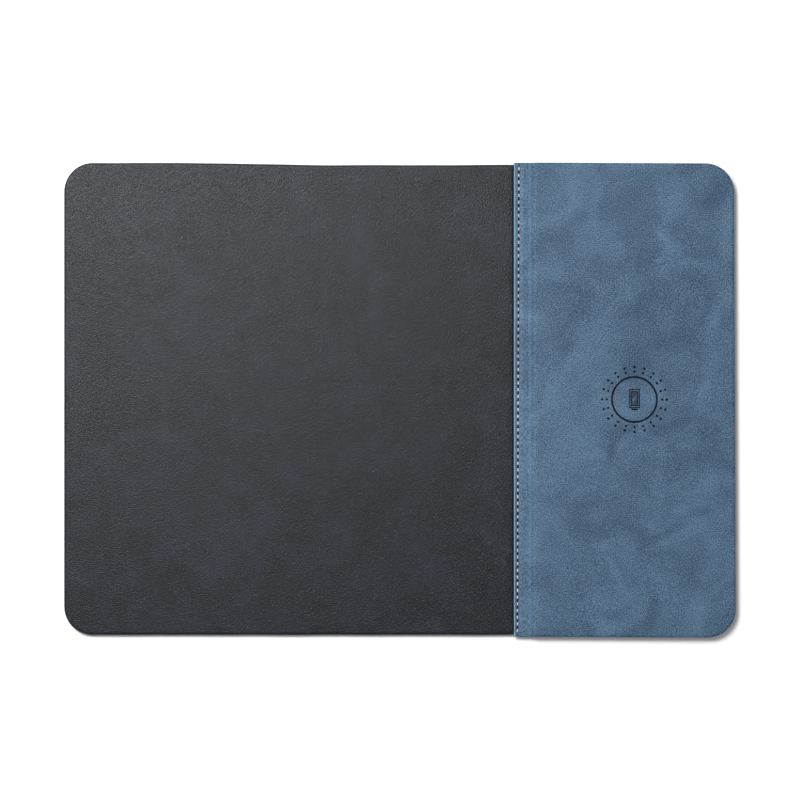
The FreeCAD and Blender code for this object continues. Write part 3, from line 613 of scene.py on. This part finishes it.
def blue_top(x, y, inside):
    """The height of the blue leather: a puffed seam, a crease, a ramp and then the panel."""
    rim = STRIP_RIM + (RIM_RADIUS - STRIP_RIM) * smooth(UNDERLAP_HIGH.x, CREASE + 0.8, x)
    on_panel = STRIP_SWELL + (1.0 - STRIP_SWELL) * smooth(*FULL_SWELL, x)
    swell = swells(x, y, BLUE_SWELLS) * smooth(*BLUE_FLAT_RIM, inside) * on_panel
    off_seam = x - stitch_x(y)
    groove = GROOVE_DEPTH * hump(off_seam, GROOVE_WIDTH)
    lip = LIP_HEIGHT * hump(x - LAP - LIP_PLACE, LIP_WIDTH)
    puff = lip + PUFF_HEIGHT * hump(off_seam - PUFF_PLACE, PUFF_WIDTH)
    crease = CREASE_DEPTH * hump(x - CREASE + CREASE_PLACE, CREASE_WIDTH)
    crease -= CREASE_RIDGE * hump(x - CREASE, CREASE_WIDTH)
    ramp = (PANEL_HIGH.z - STRIP_HIGH.z) * smooth(UNDERLAP_HIGH.x, RAMP_END, x)
    return (STRIP_HIGH.z - BLUE_ROOM + ramp + swell + puff - groove - crease
            - rim_drop(inside, rim) - rim_drop(x - LAP, EDGE_ROUND))


def clear_of_symbol(x, y):
    """True outside the symbol's dots, and between its ring and its battery."""
    across, along = abs(x - SYMBOL.x), abs(y - SYMBOL.y)
    from_middle = math.hypot(across, along)
    in_ring = from_middle < RING_RADIUS - RING_ROOM
    off_battery = across > BATTERY_ROOM[0] or along > BATTERY_ROOM[1]
    return from_middle > SYMBOL_REACH or (in_ring and off_battery)


def blue_plan(straight, side, distance):
    """Lines close together at the cut edge, the fold, the wall and the ramp, and along the seam."""
    plan = Plan()
    left = [LAP + 0.05, LAP + 0.15, LAP + EDGE_ROUND, LAP + 0.5]
    fold = steps(SECOND_FOLD.x - 1.2, PANEL_WALL - 0.1, 0.2)
    wall = [PANEL_WALL + offset for offset in (-0.05, 0.0, 0.4, LEATHER, LEATHER + 0.05)]
    ramp = steps(PANEL_WALL + 1.2, RAMP_END + 0.6, 0.35)
    across = left + BESIDE_FOLD + fold + wall + ramp
    add_tab(plan, straight, side, PANEL_EDGE, CORNER_RADIUS, RIM_INSETS, across)
    reach = PANEL_EDGE - RIM_BAND
    for offset in BESIDE_STITCHES:
        plan.add_line([(stitch_x(y) + offset, y) for y in steps(-reach, reach, 0.8)])
    for row in stitch_rows()[1:-1]:
        for along in (-0.3, 0.3):
            plan.add_point(stitch_x(row), row + along)
    add_dimples(plan)
    add_symbol(plan)

    def free(x, y):
        return distance(x, y) > RIM_BAND and x > RAMP_END + 1.2 and clear_of_symbol(x, y)

    fill(plan, RAMP_END, side, PANEL_EDGE, BLUE_GRID, free)
    return plan


def rounded_box(name, low, high, radius):
    """A box whose four edges along Y are round."""
    outline = []
    left, right = low.x + radius, high.x - radius
    bottom, top = low.z + radius, high.z - radius
    for turn, (x, z) in enumerate(((right, top), (left, top), (left, bottom), (right, bottom))):
        for part in steps(0.0, math.pi / 2, 0.3):
            angle = turn * math.pi / 2 + part
            outline.append((x + radius * math.cos(angle), z + radius * math.sin(angle)))
    count = len(outline)
    points = [(x * MM, y * MM, z * MM) for y in (low.y, high.y) for x, z in outline]
    pairs = [(index, (index + 1) % count) for index in range(count)]
    faces = [(here, beside, beside + count, here + count) for here, beside in pairs]
    faces.append(tuple(range(count))[::-1])
    faces.append(tuple(range(count, 2 * count)))
    return bare_piece(name, points, [face[::-1] for face in faces])


def cut_openings(piece, *cutters):
    """The piece with the cutters taken out of it. The cutters themselves are removed."""
    for cutter in cutters:
        step = piece.modifiers.new("opening", "BOOLEAN")
        step.operation = "DIFFERENCE"
        step.solver = "EXACT"
        step.object = cutter
    ready = piece.evaluated_get(bpy.context.evaluated_depsgraph_get())
    cut = bpy.data.meshes.new_from_object(ready)
    piece.modifiers.clear()
    piece.data = cut
    for cutter in cutters:
        bpy.data.objects.remove(cutter)


def mark_painted_light(piece):
    """Share of paling at each point: a painted highlight along the cut edge, painted light over the seam
    strip, and a pale crease that is partly rubbed wear and partly painted highlight.
    """
    painted_light_and_wear = []
    for vertex in piece.data.vertices:
        x = vertex.co.x / MM
        at_edge = hump(x - LAP - EDGE_HIGHLIGHT_PLACE, EDGE_HIGHLIGHT_WIDTH)
        on_strip = STRIP_PAINTED_LIGHT * (1.0 - smooth(*STRIP_PAINTED_LIGHT_FADE, x))
        at_crease = CREASE_HIGHLIGHT_AND_WEAR * hump(x - CREASE, CREASE_PALING_WIDTH)
        painted_light_and_wear.append(at_edge + on_strip + at_crease)
    piece.data.attributes.new("highlight_and_wear", "FLOAT", "POINT").data.foreach_set("value", painted_light_and_wear)


def blue_leather():
    straight, side = STRIP_LOW.x, PANEL_HIGH.x

    def distance(x, y):
        return rim_distance(x, y, side, PANEL_EDGE, CORNER_RADIUS)

    def top(x, y):
        return blue_top(x, y, distance(x, y))

    def bottom(x, y):
        if x < PANEL_WALL - NEAR:
            return STRIP_LOW.z
        if x < PANEL_WALL + LEATHER + NEAR:
            return 0.0
        return wall_bottom(distance(x, y), panel_roof(x))

    def warp(x, y, low):
        if low and x < straight + NEAR:
            return x - CUT_SLOPE, y
        across = smooth(PANEL_WALL, side, x)
        along = y / PANEL_EDGE
        return x - (LEAN * along + SHIFT_LEFT) * across, y - SHIFT_FRONT * across

    piece = make_skin("blue_leather_cover", blue_plan(straight, side, distance), top, bottom, warp)
    port = rounded_box("port_cutter", BEZEL_LOW - OPENING_ROOM, BEZEL_HIGH + OPENING_ROOM, PORT_ROUND)
    light = rounded_box("light_cutter", PIPE_LOW - OPENING_ROOM, PIPE_HIGH + OPENING_ROOM, LIGHT_ROUND)
    cut_openings(piece, port, light)
    finish_shape(piece)
    mark_painted_light(piece)
    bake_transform(piece)
    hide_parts("blue_leather_top", "blue_leather_seam_strip")
    return piece


# Liners under the mat

LINER_LOW, LINER_HIGH = corners("mat_base_sheet")
PANEL_LINER_HIGH = corners("charger_base_sheet")[1]
LINER_SPLIT = (FIRST_FOLD.x + SECOND_FOLD.x) / 2
LINER_BEND = 2.6
LINER_RADIUS = CORNER_RADIUS - LEATHER
LINER_ROUND = 0.2
LINER_GRID = 4.0
LINER_ROOM = 2.0
LINER_RIM = 3.0


def liner(name, straight, side, edge, fold, nodes):
    """The thin sheet on the desk, whose outer edges are a little round."""
    bend = steps(fold - LINER_BEND, fold + LINER_BEND, 0.35)

    def distance(x, y):
        return rim_distance(x, y, side, edge, LINER_RADIUS)

    def top(x, y):
        return LINER_HIGH.z

    def bottom(x, y):
        return rim_drop(distance(x, y), LINER_ROUND)

    def free(x, y):
        at_bend = bend[0] - LINER_ROOM < x < bend[-1] + LINER_ROOM
        return distance(x, y) > LINER_RIM and not at_bend and abs(x - straight) > LINER_ROOM

    plan = Plan()
    add_tab(plan, straight, side, edge, LINER_RADIUS, [0.05, LINER_ROUND, 1.0], bend)
    fill(plan, min(straight, side), max(straight, side), edge, LINER_GRID, free)
    piece = make_skin(name, plan, top, bottom)
    finish_shape(piece)
    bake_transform(piece)
    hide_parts(*nodes)
    return piece


# Materials

BAND_SCALE = 0.314
BLACK = (0.0, 0.0, 0.0)
WHITE = (1.0, 1.0, 1.0)


class Look:
    """A node material in the making. Its patterns sit on the object's own surface at rest."""

    def __init__(self, name, rides_bend=False):
        self.material = bpy.data.materials.new(name + "_look")
        self.material.use_nodes = True
        self.tree = self.material.node_tree
        self.shader = self.tree.nodes["Principled BSDF"]
        if rides_bend:
            place = self.node("ShaderNodeAttribute")
            place.attribute_name = "rest"
            self.place = place.outputs["Vector"]
        else:
            self.place = self.node("ShaderNodeTexCoord").outputs["Object"]

    def node(self, kind, **settings):
        made = self.tree.nodes.new(kind)
        for name, amount in settings.items():
            setattr(made, name, amount)
        return made

    def link(self, source, target):
        self.tree.links.new(source, target)

    def constants(self, **amounts):
        """Values that are the same all over go straight on the shader's sockets."""
        for name, amount in amounts.items():
            self.shader.inputs[name.replace("_", " ")].default_value = amount

    def scaled(self, stretch):
        """The place on the surface, in millimetres, stretched by three numbers."""
        moved = self.node("ShaderNodeMapping")
        moved.inputs["Scale"].default_value = [1000.0 / amount for amount in stretch]
        self.link(self.place, moved.inputs["Vector"])
        return moved.outputs["Vector"]

    def cloud(self, size, detail=3.0, roughness=0.5, stretch=(1.0, 1.0, 1.0), distortion=0.0):
        """Noise from 0 to 1, with features about size millimetres across."""
        noise_node = self.node("ShaderNodeTexNoise")
        noise_node.inputs["Scale"].default_value = 1.0
        noise_node.inputs["Detail"].default_value = detail
        noise_node.inputs["Roughness"].default_value = roughness
        noise_node.inputs["Distortion"].default_value = distortion
        self.link(self.scaled([size * amount for amount in stretch]), noise_node.inputs["Vector"])
        return noise_node.outputs["Fac"]

    def pebbles(self, size, feature="DISTANCE_TO_EDGE", randomness=1.0):
        """Cells of about that size: how far each place is from the edge, or with F1 from the middle."""
        cells = self.node("ShaderNodeTexVoronoi", feature=feature)
        cells.inputs["Scale"].default_value = 1.0
        cells.inputs["Randomness"].default_value = randomness
        self.link(self.scaled([size] * 3), cells.inputs["Vector"])
        return cells.outputs["Distance"]

    def waves(self, size, direction, distortion):
        """Wavy bands from 0 to 1, about size millimetres wide."""
        bands = self.node("ShaderNodeTexWave", bands_direction=direction)
        bands.inputs["Scale"].default_value = BAND_SCALE
        bands.inputs["Distortion"].default_value = distortion
        self.link(self.scaled([size] * 3), bands.inputs["Vector"])
        return bands.outputs["Fac"]

    def attribute(self, name):
        return self.node("ShaderNodeAttribute", attribute_name=name).outputs["Fac"]

    def ramp(self, source, stops):
        """Colours or greys against the source, from pairs of place and colour."""
        ramp = self.node("ShaderNodeValToRGB")
        elements = ramp.color_ramp.elements
        while len(elements) < len(stops):
            elements.new(0.5)
        for element, (place, colour) in zip(elements, stops):
            element.position = place
            element.color = tuple(colour) + (1.0,)
        self.link(source, ramp.inputs["Fac"])
        return ramp.outputs["Color"]

    def spread(self, source, low, high, start=0.0, stop=1.0):
        """The source's start to stop, spread over low to high."""
        spread = self.node("ShaderNodeMapRange")
        limits = (("From Min", start), ("From Max", stop), ("To Min", low), ("To Max", high))
        for name, amount in limits:
            spread.inputs[name].default_value = amount
        self.link(source, spread.inputs["Value"])
        return spread.outputs["Result"]

    def mix(self, blend_type, share, first, second):
        """Two colours mixed by a share. Each of the three may also be a socket."""
        mixer = self.node("ShaderNodeMix", data_type="RGBA", blend_type=blend_type)
        inputs = {socket.name: socket for socket in mixer.inputs if socket.enabled}
        for name, source in (("Factor", share), ("A", first), ("B", second)):
            if isinstance(source, bpy.types.NodeSocket):
                self.link(source, inputs[name])
            elif name == "Factor":
                inputs[name].default_value = source
            else:
                inputs[name].default_value = tuple(source) + (1.0,)
        return next(socket for socket in mixer.outputs if socket.enabled)

    def math(self, operation, first, second):
        """Two numbers put together. Either may be a socket or a number."""
        sums = self.node("ShaderNodeMath", operation=operation)
        for socket, source in zip(sums.inputs, (first, second)):
            if isinstance(source, bpy.types.NodeSocket):
                self.link(source, socket)
            else:
                socket.default_value = source
        return sums.outputs["Value"]

    def bump(self, height, millimetres, before=None):
        """Raise the surface by up to this many millimetres where height is 1."""
        bump = self.node("ShaderNodeBump")
        bump.inputs["Strength"].default_value = 1.0
        bump.inputs["Distance"].default_value = millimetres * MM
        self.link(height, bump.inputs["Height"])
        if before:
            self.link(before, bump.inputs["Normal"])
        return bump.outputs["Normal"]

    def finish(self, colour, roughness, normal):
        for name, source in (("Base Color", colour), ("Roughness", roughness), ("Normal", normal)):
            self.link(source, self.shader.inputs[name])
        return self.material


def srgb(red, green, blue):
    """A colour as a screen's red, green and blue, 0 to 255, turned into amounts of light."""
    def light(amount):
        share = amount / 255
        return share / 12.92 if share <= 0.04045 else ((share + 0.055) / 1.055) ** 2.4
    return light(red), light(green), light(blue)


# Near-black mixed in by the black attribute: real print in the symbol, and painted shade in the needle
# holes and beside the seam.
BLACK_PRINT_AND_SHADE = srgb(10, 11, 13)


def leather(name, deep, middle, pale, highlight_and_wear, mottle, fleck, roughness):
    """Soft napped leather: cloudy dye, fine grain, black where it is pulled in (pressed print, and painted
    shade in needle holes and along the seam), and pale where the painted highlight and crease wear are
    marked.
    """
    look = Look(name, rides_bend=True)
    look.constants(Specular_IOR_Level=0.25, Sheen_Weight=0.06, Sheen_Roughness=0.4)
    broad = look.cloud(26.0, detail=1.5, roughness=0.5, distortion=1.2)
    patch = look.cloud(6.0, detail=2.0, roughness=0.5)
    nap = look.cloud(0.5, detail=1.0, roughness=0.6)
    shade = 0.5
    for cloud, strength in ((broad, mottle), (patch, mottle * 0.2), (nap, fleck)):
        swing = look.math("MULTIPLY", look.math("SUBTRACT", cloud, 0.5), strength)
        shade = look.math("ADD", swing, shade)
    dye = look.ramp(shade, [(0.2, deep), (0.5, middle), (0.8, pale)])
    grain = look.pebbles(0.8)
    creases = look.ramp(grain, [(0.0, (0.6, 0.6, 0.6)), (0.22, WHITE)])
    dye = look.mix("MULTIPLY", 0.4, dye, creases)
    dye = look.mix("MIX", look.attribute("highlight_and_wear"), dye, highlight_and_wear)
    dye = look.mix("MIX", look.attribute("black"), dye, BLACK_PRINT_AND_SHADE)
    rough = look.spread(nap, roughness - 0.07, roughness + 0.07, 0.3, 0.7)
    normal = look.bump(nap, 0.10)
    normal = look.bump(look.spread(grain, 0.0, 1.0, 0.0, 0.3), 0.05, normal)
    return look.finish(dye, rough, normal)


def stamped_and_shaded_leather(name, dark, pale):
    """Matt near-black leather: scorched by a hot stamp in the symbol, and painted shade in the needle
    holes, beside the seam and on the blue's cut edge.
    """
    look = Look(name, rides_bend=True)
    look.constants(Specular_IOR_Level=0.08)
    soot = look.cloud(0.5, detail=3.0)
    colour = look.ramp(soot, [(0.3, dark), (0.7, pale)])
    return look.finish(colour, look.spread(soot, 0.75, 0.95), look.bump(soot, 0.04))


def grained(name, dark, pale, size, roughness, bump, stretch=(1.0, 1.0, 1.0), **constants):
    """A material mottled from dark to pale, with matching roughness and a fine grain."""
    look = Look(name)
    look.constants(**constants)
    broad = look.cloud(size, stretch=stretch)
    close = look.cloud(size * 0.3, detail=2.0, stretch=stretch)
    both = look.math("MULTIPLY", look.math("ADD", broad, close), 0.5)
    colour = look.ramp(both, [(0.32, dark), (0.68, pale)])
    rough = look.spread(close, roughness[0], roughness[1], 0.3, 0.7)
    return look.finish(colour, rough, look.bump(both, bump))


GRIP_PITCH = 2.4


def grip_sheet(name):
    """Thin rubbery sheet with rows of small raised dots."""
    look = Look(name, rides_bend=True)
    look.constants(Specular_IOR_Level=0.3)
    rows = look.pebbles(GRIP_PITCH, feature="F1", randomness=0.0)
    dots = look.ramp(rows, [(0.26, WHITE), (0.36, BLACK)])
    dust = look.cloud(12.0, detail=5.0)
    sheet = look.ramp(dust, [(0.3, srgb(30, 31, 34)), (0.7, srgb(44, 46, 50))])
    colour = look.mix("MIX", dots, sheet, srgb(56, 58, 62))
    roughness = look.spread(dust, 0.62, 0.85)
    normal = look.bump(dots, 0.12)
    normal = look.bump(look.cloud(0.4), 0.03, normal)
    return look.finish(colour, roughness, normal)


def thread(name, dark, pale):
    """Waxed sewing thread: fine fibres, and darker stretches where it has picked up grime."""
    look = Look(name)
    look.constants(Specular_IOR_Level=0.3, Sheen_Weight=0.3)
    fibres = look.cloud(0.5, detail=2.0, stretch=(0.35, 1.0, 0.35))
    grime_and_shade = look.cloud(35.0, detail=2.0)
    both = look.math("MULTIPLY", look.math("ADD", fibres, grime_and_shade), 0.5)
    colour = look.ramp(both, [(0.3, dark), (0.62, pale)])
    return look.finish(colour, look.spread(fibres, 0.6, 0.85), look.bump(fibres, 0.04))


def moulded(name, dark, pale, roughness):
    """Moulded plastic with a fine spark texture."""
    look = Look(name)
    look.constants(Specular_IOR_Level=0.5)
    spark = look.cloud(0.25, detail=1.0)
    tone = look.cloud(14.0, detail=3.0)
    colour = look.ramp(tone, [(0.3, dark), (0.7, pale)])
    rough = look.spread(spark, roughness - 0.08, roughness + 0.12)
    return look.finish(colour, rough, look.bump(spark, 0.012))


def metal(name, dark, pale, roughness, stretch):
    """Drawn or plated metal, with fine streaks."""
    look = Look(name)
    look.constants(Metallic=1.0)
    streaks = look.cloud(0.35, detail=3.0, stretch=stretch)
    tarnish = look.cloud(5.0, detail=3.0)
    colour = look.ramp(tarnish, [(0.3, dark), (0.7, pale)])
    rough = look.spread(streaks, roughness, roughness + 0.18, 0.3, 0.7)
    return look.finish(colour, rough, look.bump(streaks, 0.006))


def circuit_board(name):
    """Green solder mask with faint tracks under it."""
    look = Look(name)
    look.constants(Specular_IOR_Level=0.5, Coat_Weight=0.3, Coat_Roughness=0.2)
    tracks = look.waves(1.6, "DIAGONAL", 6.0)
    lines = look.ramp(tracks, [(0.42, BLACK), (0.5, WHITE)])
    mask = look.cloud(6.0)
    green = look.ramp(mask, [(0.3, srgb(14, 62, 44)), (0.7, srgb(20, 78, 54))])
    colour = look.mix("MIX", look.math("MULTIPLY", lines, 0.4), green, srgb(40, 112, 72))
    return look.finish(colour, look.spread(mask, 0.25, 0.4), look.bump(lines, 0.02))


def clear_plastic(name):
    """Clear moulded plastic with a slight haze."""
    look = Look(name)
    look.constants(Transmission_Weight=0.85, IOR=1.49)
    haze = look.cloud(0.8)
    colour = look.ramp(haze, [(0.3, srgb(226, 232, 236)), (0.7, srgb(246, 249, 250))])
    return look.finish(colour, look.spread(haze, 0.12, 0.3), look.bump(haze, 0.004))


def floor_look(name):
    """Plain pale paper, with a trace of tone."""
    look = Look(name)
    look.constants(Specular_IOR_Level=0.1)
    tone = look.cloud(300.0, detail=2.0)
    fibre = look.cloud(0.8)
    colour = look.ramp(tone, [(0.3, (0.90, 0.90, 0.90)), (0.7, (0.93, 0.93, 0.93))])
    return look.finish(colour, look.spread(fibre, 0.85, 0.95), look.bump(fibre, 0.01))


def leather_looks():
    """The two leathers, and two near-black looks: for the lines pressed and burnt into them, and for
    painted shade in the needle holes, beside the seam and on the blue's cut edge.
    """
    # The fourth colour of each is the pale tone for painted highlight and crease wear.
    dark = (srgb(5, 9, 17), srgb(10, 16, 25), srgb(23, 30, 41), srgb(46, 50, 58))
    blue = (srgb(32, 54, 78), srgb(56, 83, 106), srgb(84, 112, 136), srgb(112, 146, 171))
    return {
        "dark_leather": leather("dark_leather", *dark, mottle=0.8, fleck=1.0, roughness=0.38),
        "blue_leather": leather("blue_leather", *blue, mottle=0.75, fleck=2.35, roughness=0.48),
        "stamped_and_shaded_leather": stamped_and_shaded_leather("stamped_and_shaded_leather", srgb(8, 9, 11), srgb(20, 22, 26)),
        "singed_and_shaded_leather": stamped_and_shaded_leather("singed_and_shaded_leather", srgb(30, 38, 50), srgb(58, 68, 82)),
    }


def mottled_looks():
    """Plain mottled materials: name, dark and pale colour, size, roughness, bump and stretch."""
    even = (1.0, 1.0, 1.0)
    kinds = [
        ("foam", (44, 45, 48), (70, 71, 75), 0.8, (0.85, 0.95), 0.15, even),
        ("board", (128, 118, 104), (160, 150, 134), 2.2, (0.8, 0.95), 0.03, (3.0, 0.6, 1.0)),
        ("adhesive", (196, 186, 160), (224, 216, 194), 3.0, (0.3, 0.5), 0.02, even),
        ("ferrite", (34, 34, 37), (62, 62, 66), 0.7, (0.45, 0.7), 0.03, even),
        ("component_black", (20, 20, 22), (36, 36, 39), 0.6, (0.45, 0.65), 0.01, even),
        ("component_grey", (78, 80, 84), (112, 114, 118), 0.8, (0.5, 0.7), 0.02, even),
        ("ceramic", (150, 118, 84), (182, 150, 112), 0.7, (0.3, 0.5), 0.01, even),
        ("lead_sleeve", (150, 34, 28), (188, 52, 42), 1.2, (0.4, 0.6), 0.02, even),
        ("led_white", (214, 216, 206), (240, 240, 228), 0.5, (0.3, 0.5), 0.01, even),
    ]
    looks = {}
    for name, dark, pale, size, roughness, bump, stretch in kinds:
        looks[name] = grained(name, srgb(*dark), srgb(*pale), size, roughness, bump, stretch)
    looks["felt"] = grained("felt", srgb(38, 40, 46), srgb(66, 69, 76), 0.9, (0.85, 0.97), 0.2,
                            (2.0, 0.5, 0.7), Sheen_Weight=0.3)
    return looks


def metal_looks():
    """Metals: name, dark and pale colour, roughness, and the stretch of the streaks."""
    kinds = [
        ("screw_steel", (120, 122, 126), (168, 170, 174), 0.25, (0.4, 0.4, 6.0)),
        ("copper", (176, 92, 52), (214, 128, 82), 0.22, (0.4, 0.4, 0.4)),
        ("socket_steel", (150, 152, 156), (196, 198, 202), 0.2, (0.4, 6.0, 0.4)),
        ("gold", (206, 160, 72), (238, 200, 112), 0.18, (0.4, 3.0, 0.4)),
    ]
    looks = {}
    for name, dark, pale, roughness, stretch in kinds:
        looks[name] = metal(name, srgb(*dark), srgb(*pale), roughness, stretch)
    return looks


def other_looks():
    """Threads, the sheet underneath, plastics and the circuit board."""
    return {
        "thread": thread("thread", srgb(120, 120, 118), srgb(226, 226, 222)),
        "dark_thread": thread("dark_thread", srgb(14, 14, 16), srgb(38, 38, 42)),
        "base_sheet": grip_sheet("base_sheet"),
        "housing_plastic": moulded("housing_plastic", srgb(30, 31, 33), srgb(40, 41, 43), 0.45),
        "bezel_plastic": moulded("bezel_plastic", srgb(18, 19, 21), srgb(27, 28, 30), 0.35),
        "clear_plastic": clear_plastic("clear_plastic"),
        "circuit_board": circuit_board("circuit_board"),
    }


# A leather cover's second and third materials, and how black a face's corners are where they start.
SINGED_AND_SHADED, SINGED_AND_SHADED_FROM = 1, 0.6
PRESSED_AND_SHADED, PRESSED_AND_SHADED_FROM = 2, 0.8


def assign(piece, *names):
    """Give the piece its first material, and any others that its marked faces use."""
    piece.data.materials.clear()
    for name in names:
        piece.data.materials.append(materials[name])


def mark_faces(piece, slot, chosen):
    """Give the piece's material at that slot to each face that chosen picks."""
    for face in piece.data.polygons:
        if chosen(face):
            face.material_index = slot


def faces_blacker_than(piece, share):
    """A test for faces whose corners are all blacker than the share."""
    black = [point.value for point in piece.data.attributes["black"].data]
    return lambda face: all(black[corner] > share for corner in face.vertices)


# Floor, lights and camera

CAMERA_PLACE = (0.00026, -0.0001, 1.505)
LENS = 144.0
NEAREST = 0.01
FLOOR_HALF = 3.0
SKY = 0.36

# Each soft box: its place, width, depth and power.
SIDE_SOFTBOX = ((-0.5, 0.6, 0.75), 0.9, 0.6, 5.8)
HIGH_SOFTBOX = ((-0.31, 0.39, 1.1), 0.42, 0.42, 14.6)


def make_floor(material):
    points = [(x, y, 0.0) for y in (-FLOOR_HALF, FLOOR_HALF) for x in (-FLOOR_HALF, FLOOR_HALF)]
    mesh = bpy.data.meshes.new("floor")
    mesh.from_pydata(points, [], [(0, 1, 3, 2)])
    floor = bpy.data.objects.new("floor", mesh)
    bpy.context.scene.collection.objects.link(floor)
    mesh.materials.append(material)


def make_light(name, place, width, depth, power):
    """A soft box, in metres and watts, that faces the middle of the mat."""
    lamp = bpy.data.lights.new(name, "AREA")
    lamp.shape = "RECTANGLE"
    lamp.size = width
    lamp.size_y = depth
    lamp.energy = power
    light = bpy.data.objects.new(name, lamp)
    light.location = place
    light.rotation_euler = (-Vector(place)).to_track_quat("-Z", "Y").to_euler()
    bpy.context.scene.collection.objects.link(light)


def make_world(strength):
    world = bpy.data.worlds.new("studio")
    world.use_nodes = True
    background = world.node_tree.nodes["Background"]
    background.inputs["Color"].default_value = (1.0, 1.0, 1.0, 1.0)
    background.inputs["Strength"].default_value = strength
    bpy.context.scene.world = world


def make_camera():
    """A camera straight above the mat, looking down."""
    camera = bpy.data.objects.new("camera", bpy.data.cameras.new("camera"))
    camera.data.lens = LENS
    camera.data.clip_start = NEAREST
    camera.location = CAMERA_PLACE
    bpy.context.scene.collection.objects.link(camera)
    bpy.context.scene.camera = camera


materials = {**leather_looks(), **mottled_looks(), **metal_looks(), **other_looks()}

dark_cover = dark_leather()
blue_cover = blue_leather()
stitches = seam_stitches()
locks = lock_stitches()
mat_liner = liner("mat_liner", LINER_SPLIT, LINER_LOW.x, LINER_HIGH.y, FIRST_FOLD.x,
                  ("mat_base_sheet", "spine_base_sheet"))
panel_liner = liner("panel_liner", LINER_SPLIT, PANEL_LINER_HIGH.x, PANEL_LINER_HIGH.y, SECOND_FOLD.x,
                    ("charger_base_sheet",))

# Faces marked black take the matt near-black looks: pressed print in the symbol, and painted shade in the
# needle holes and beside the seam.
for cover, look in ((dark_cover, "dark_leather"), (blue_cover, "blue_leather")):
    assign(cover, look, "singed_and_shaded_leather", "stamped_and_shaded_leather")
    mark_faces(cover, SINGED_AND_SHADED, faces_blacker_than(cover, SINGED_AND_SHADED_FROM))
    mark_faces(cover, PRESSED_AND_SHADED, faces_blacker_than(cover, PRESSED_AND_SHADED_FROM))
# The blue strip's slanted cut edge takes the near-black matt look: partly the edge's own dark dye, partly
# painted shadow along the seam.
mark_faces(blue_cover, PRESSED_AND_SHADED, lambda face: face.center.x < LAP * MM and face.normal.x < -0.5)
assign(stitches, "thread")
assign(locks, "dark_thread")
assign(mat_liner, "base_sheet")
assign(panel_liner, "base_sheet")
for node in frame["nodes"].values():
    for place in node.material_slots:
        place.material = materials[place.material.name]

make_floor(floor_look("paper"))
make_world(SKY)
make_light("side_softbox", *SIDE_SOFTBOX)
make_light("high_softbox", *HIGH_SOFTBOX)
make_camera()
bpy.context.scene.view_settings.view_transform = "Standard"
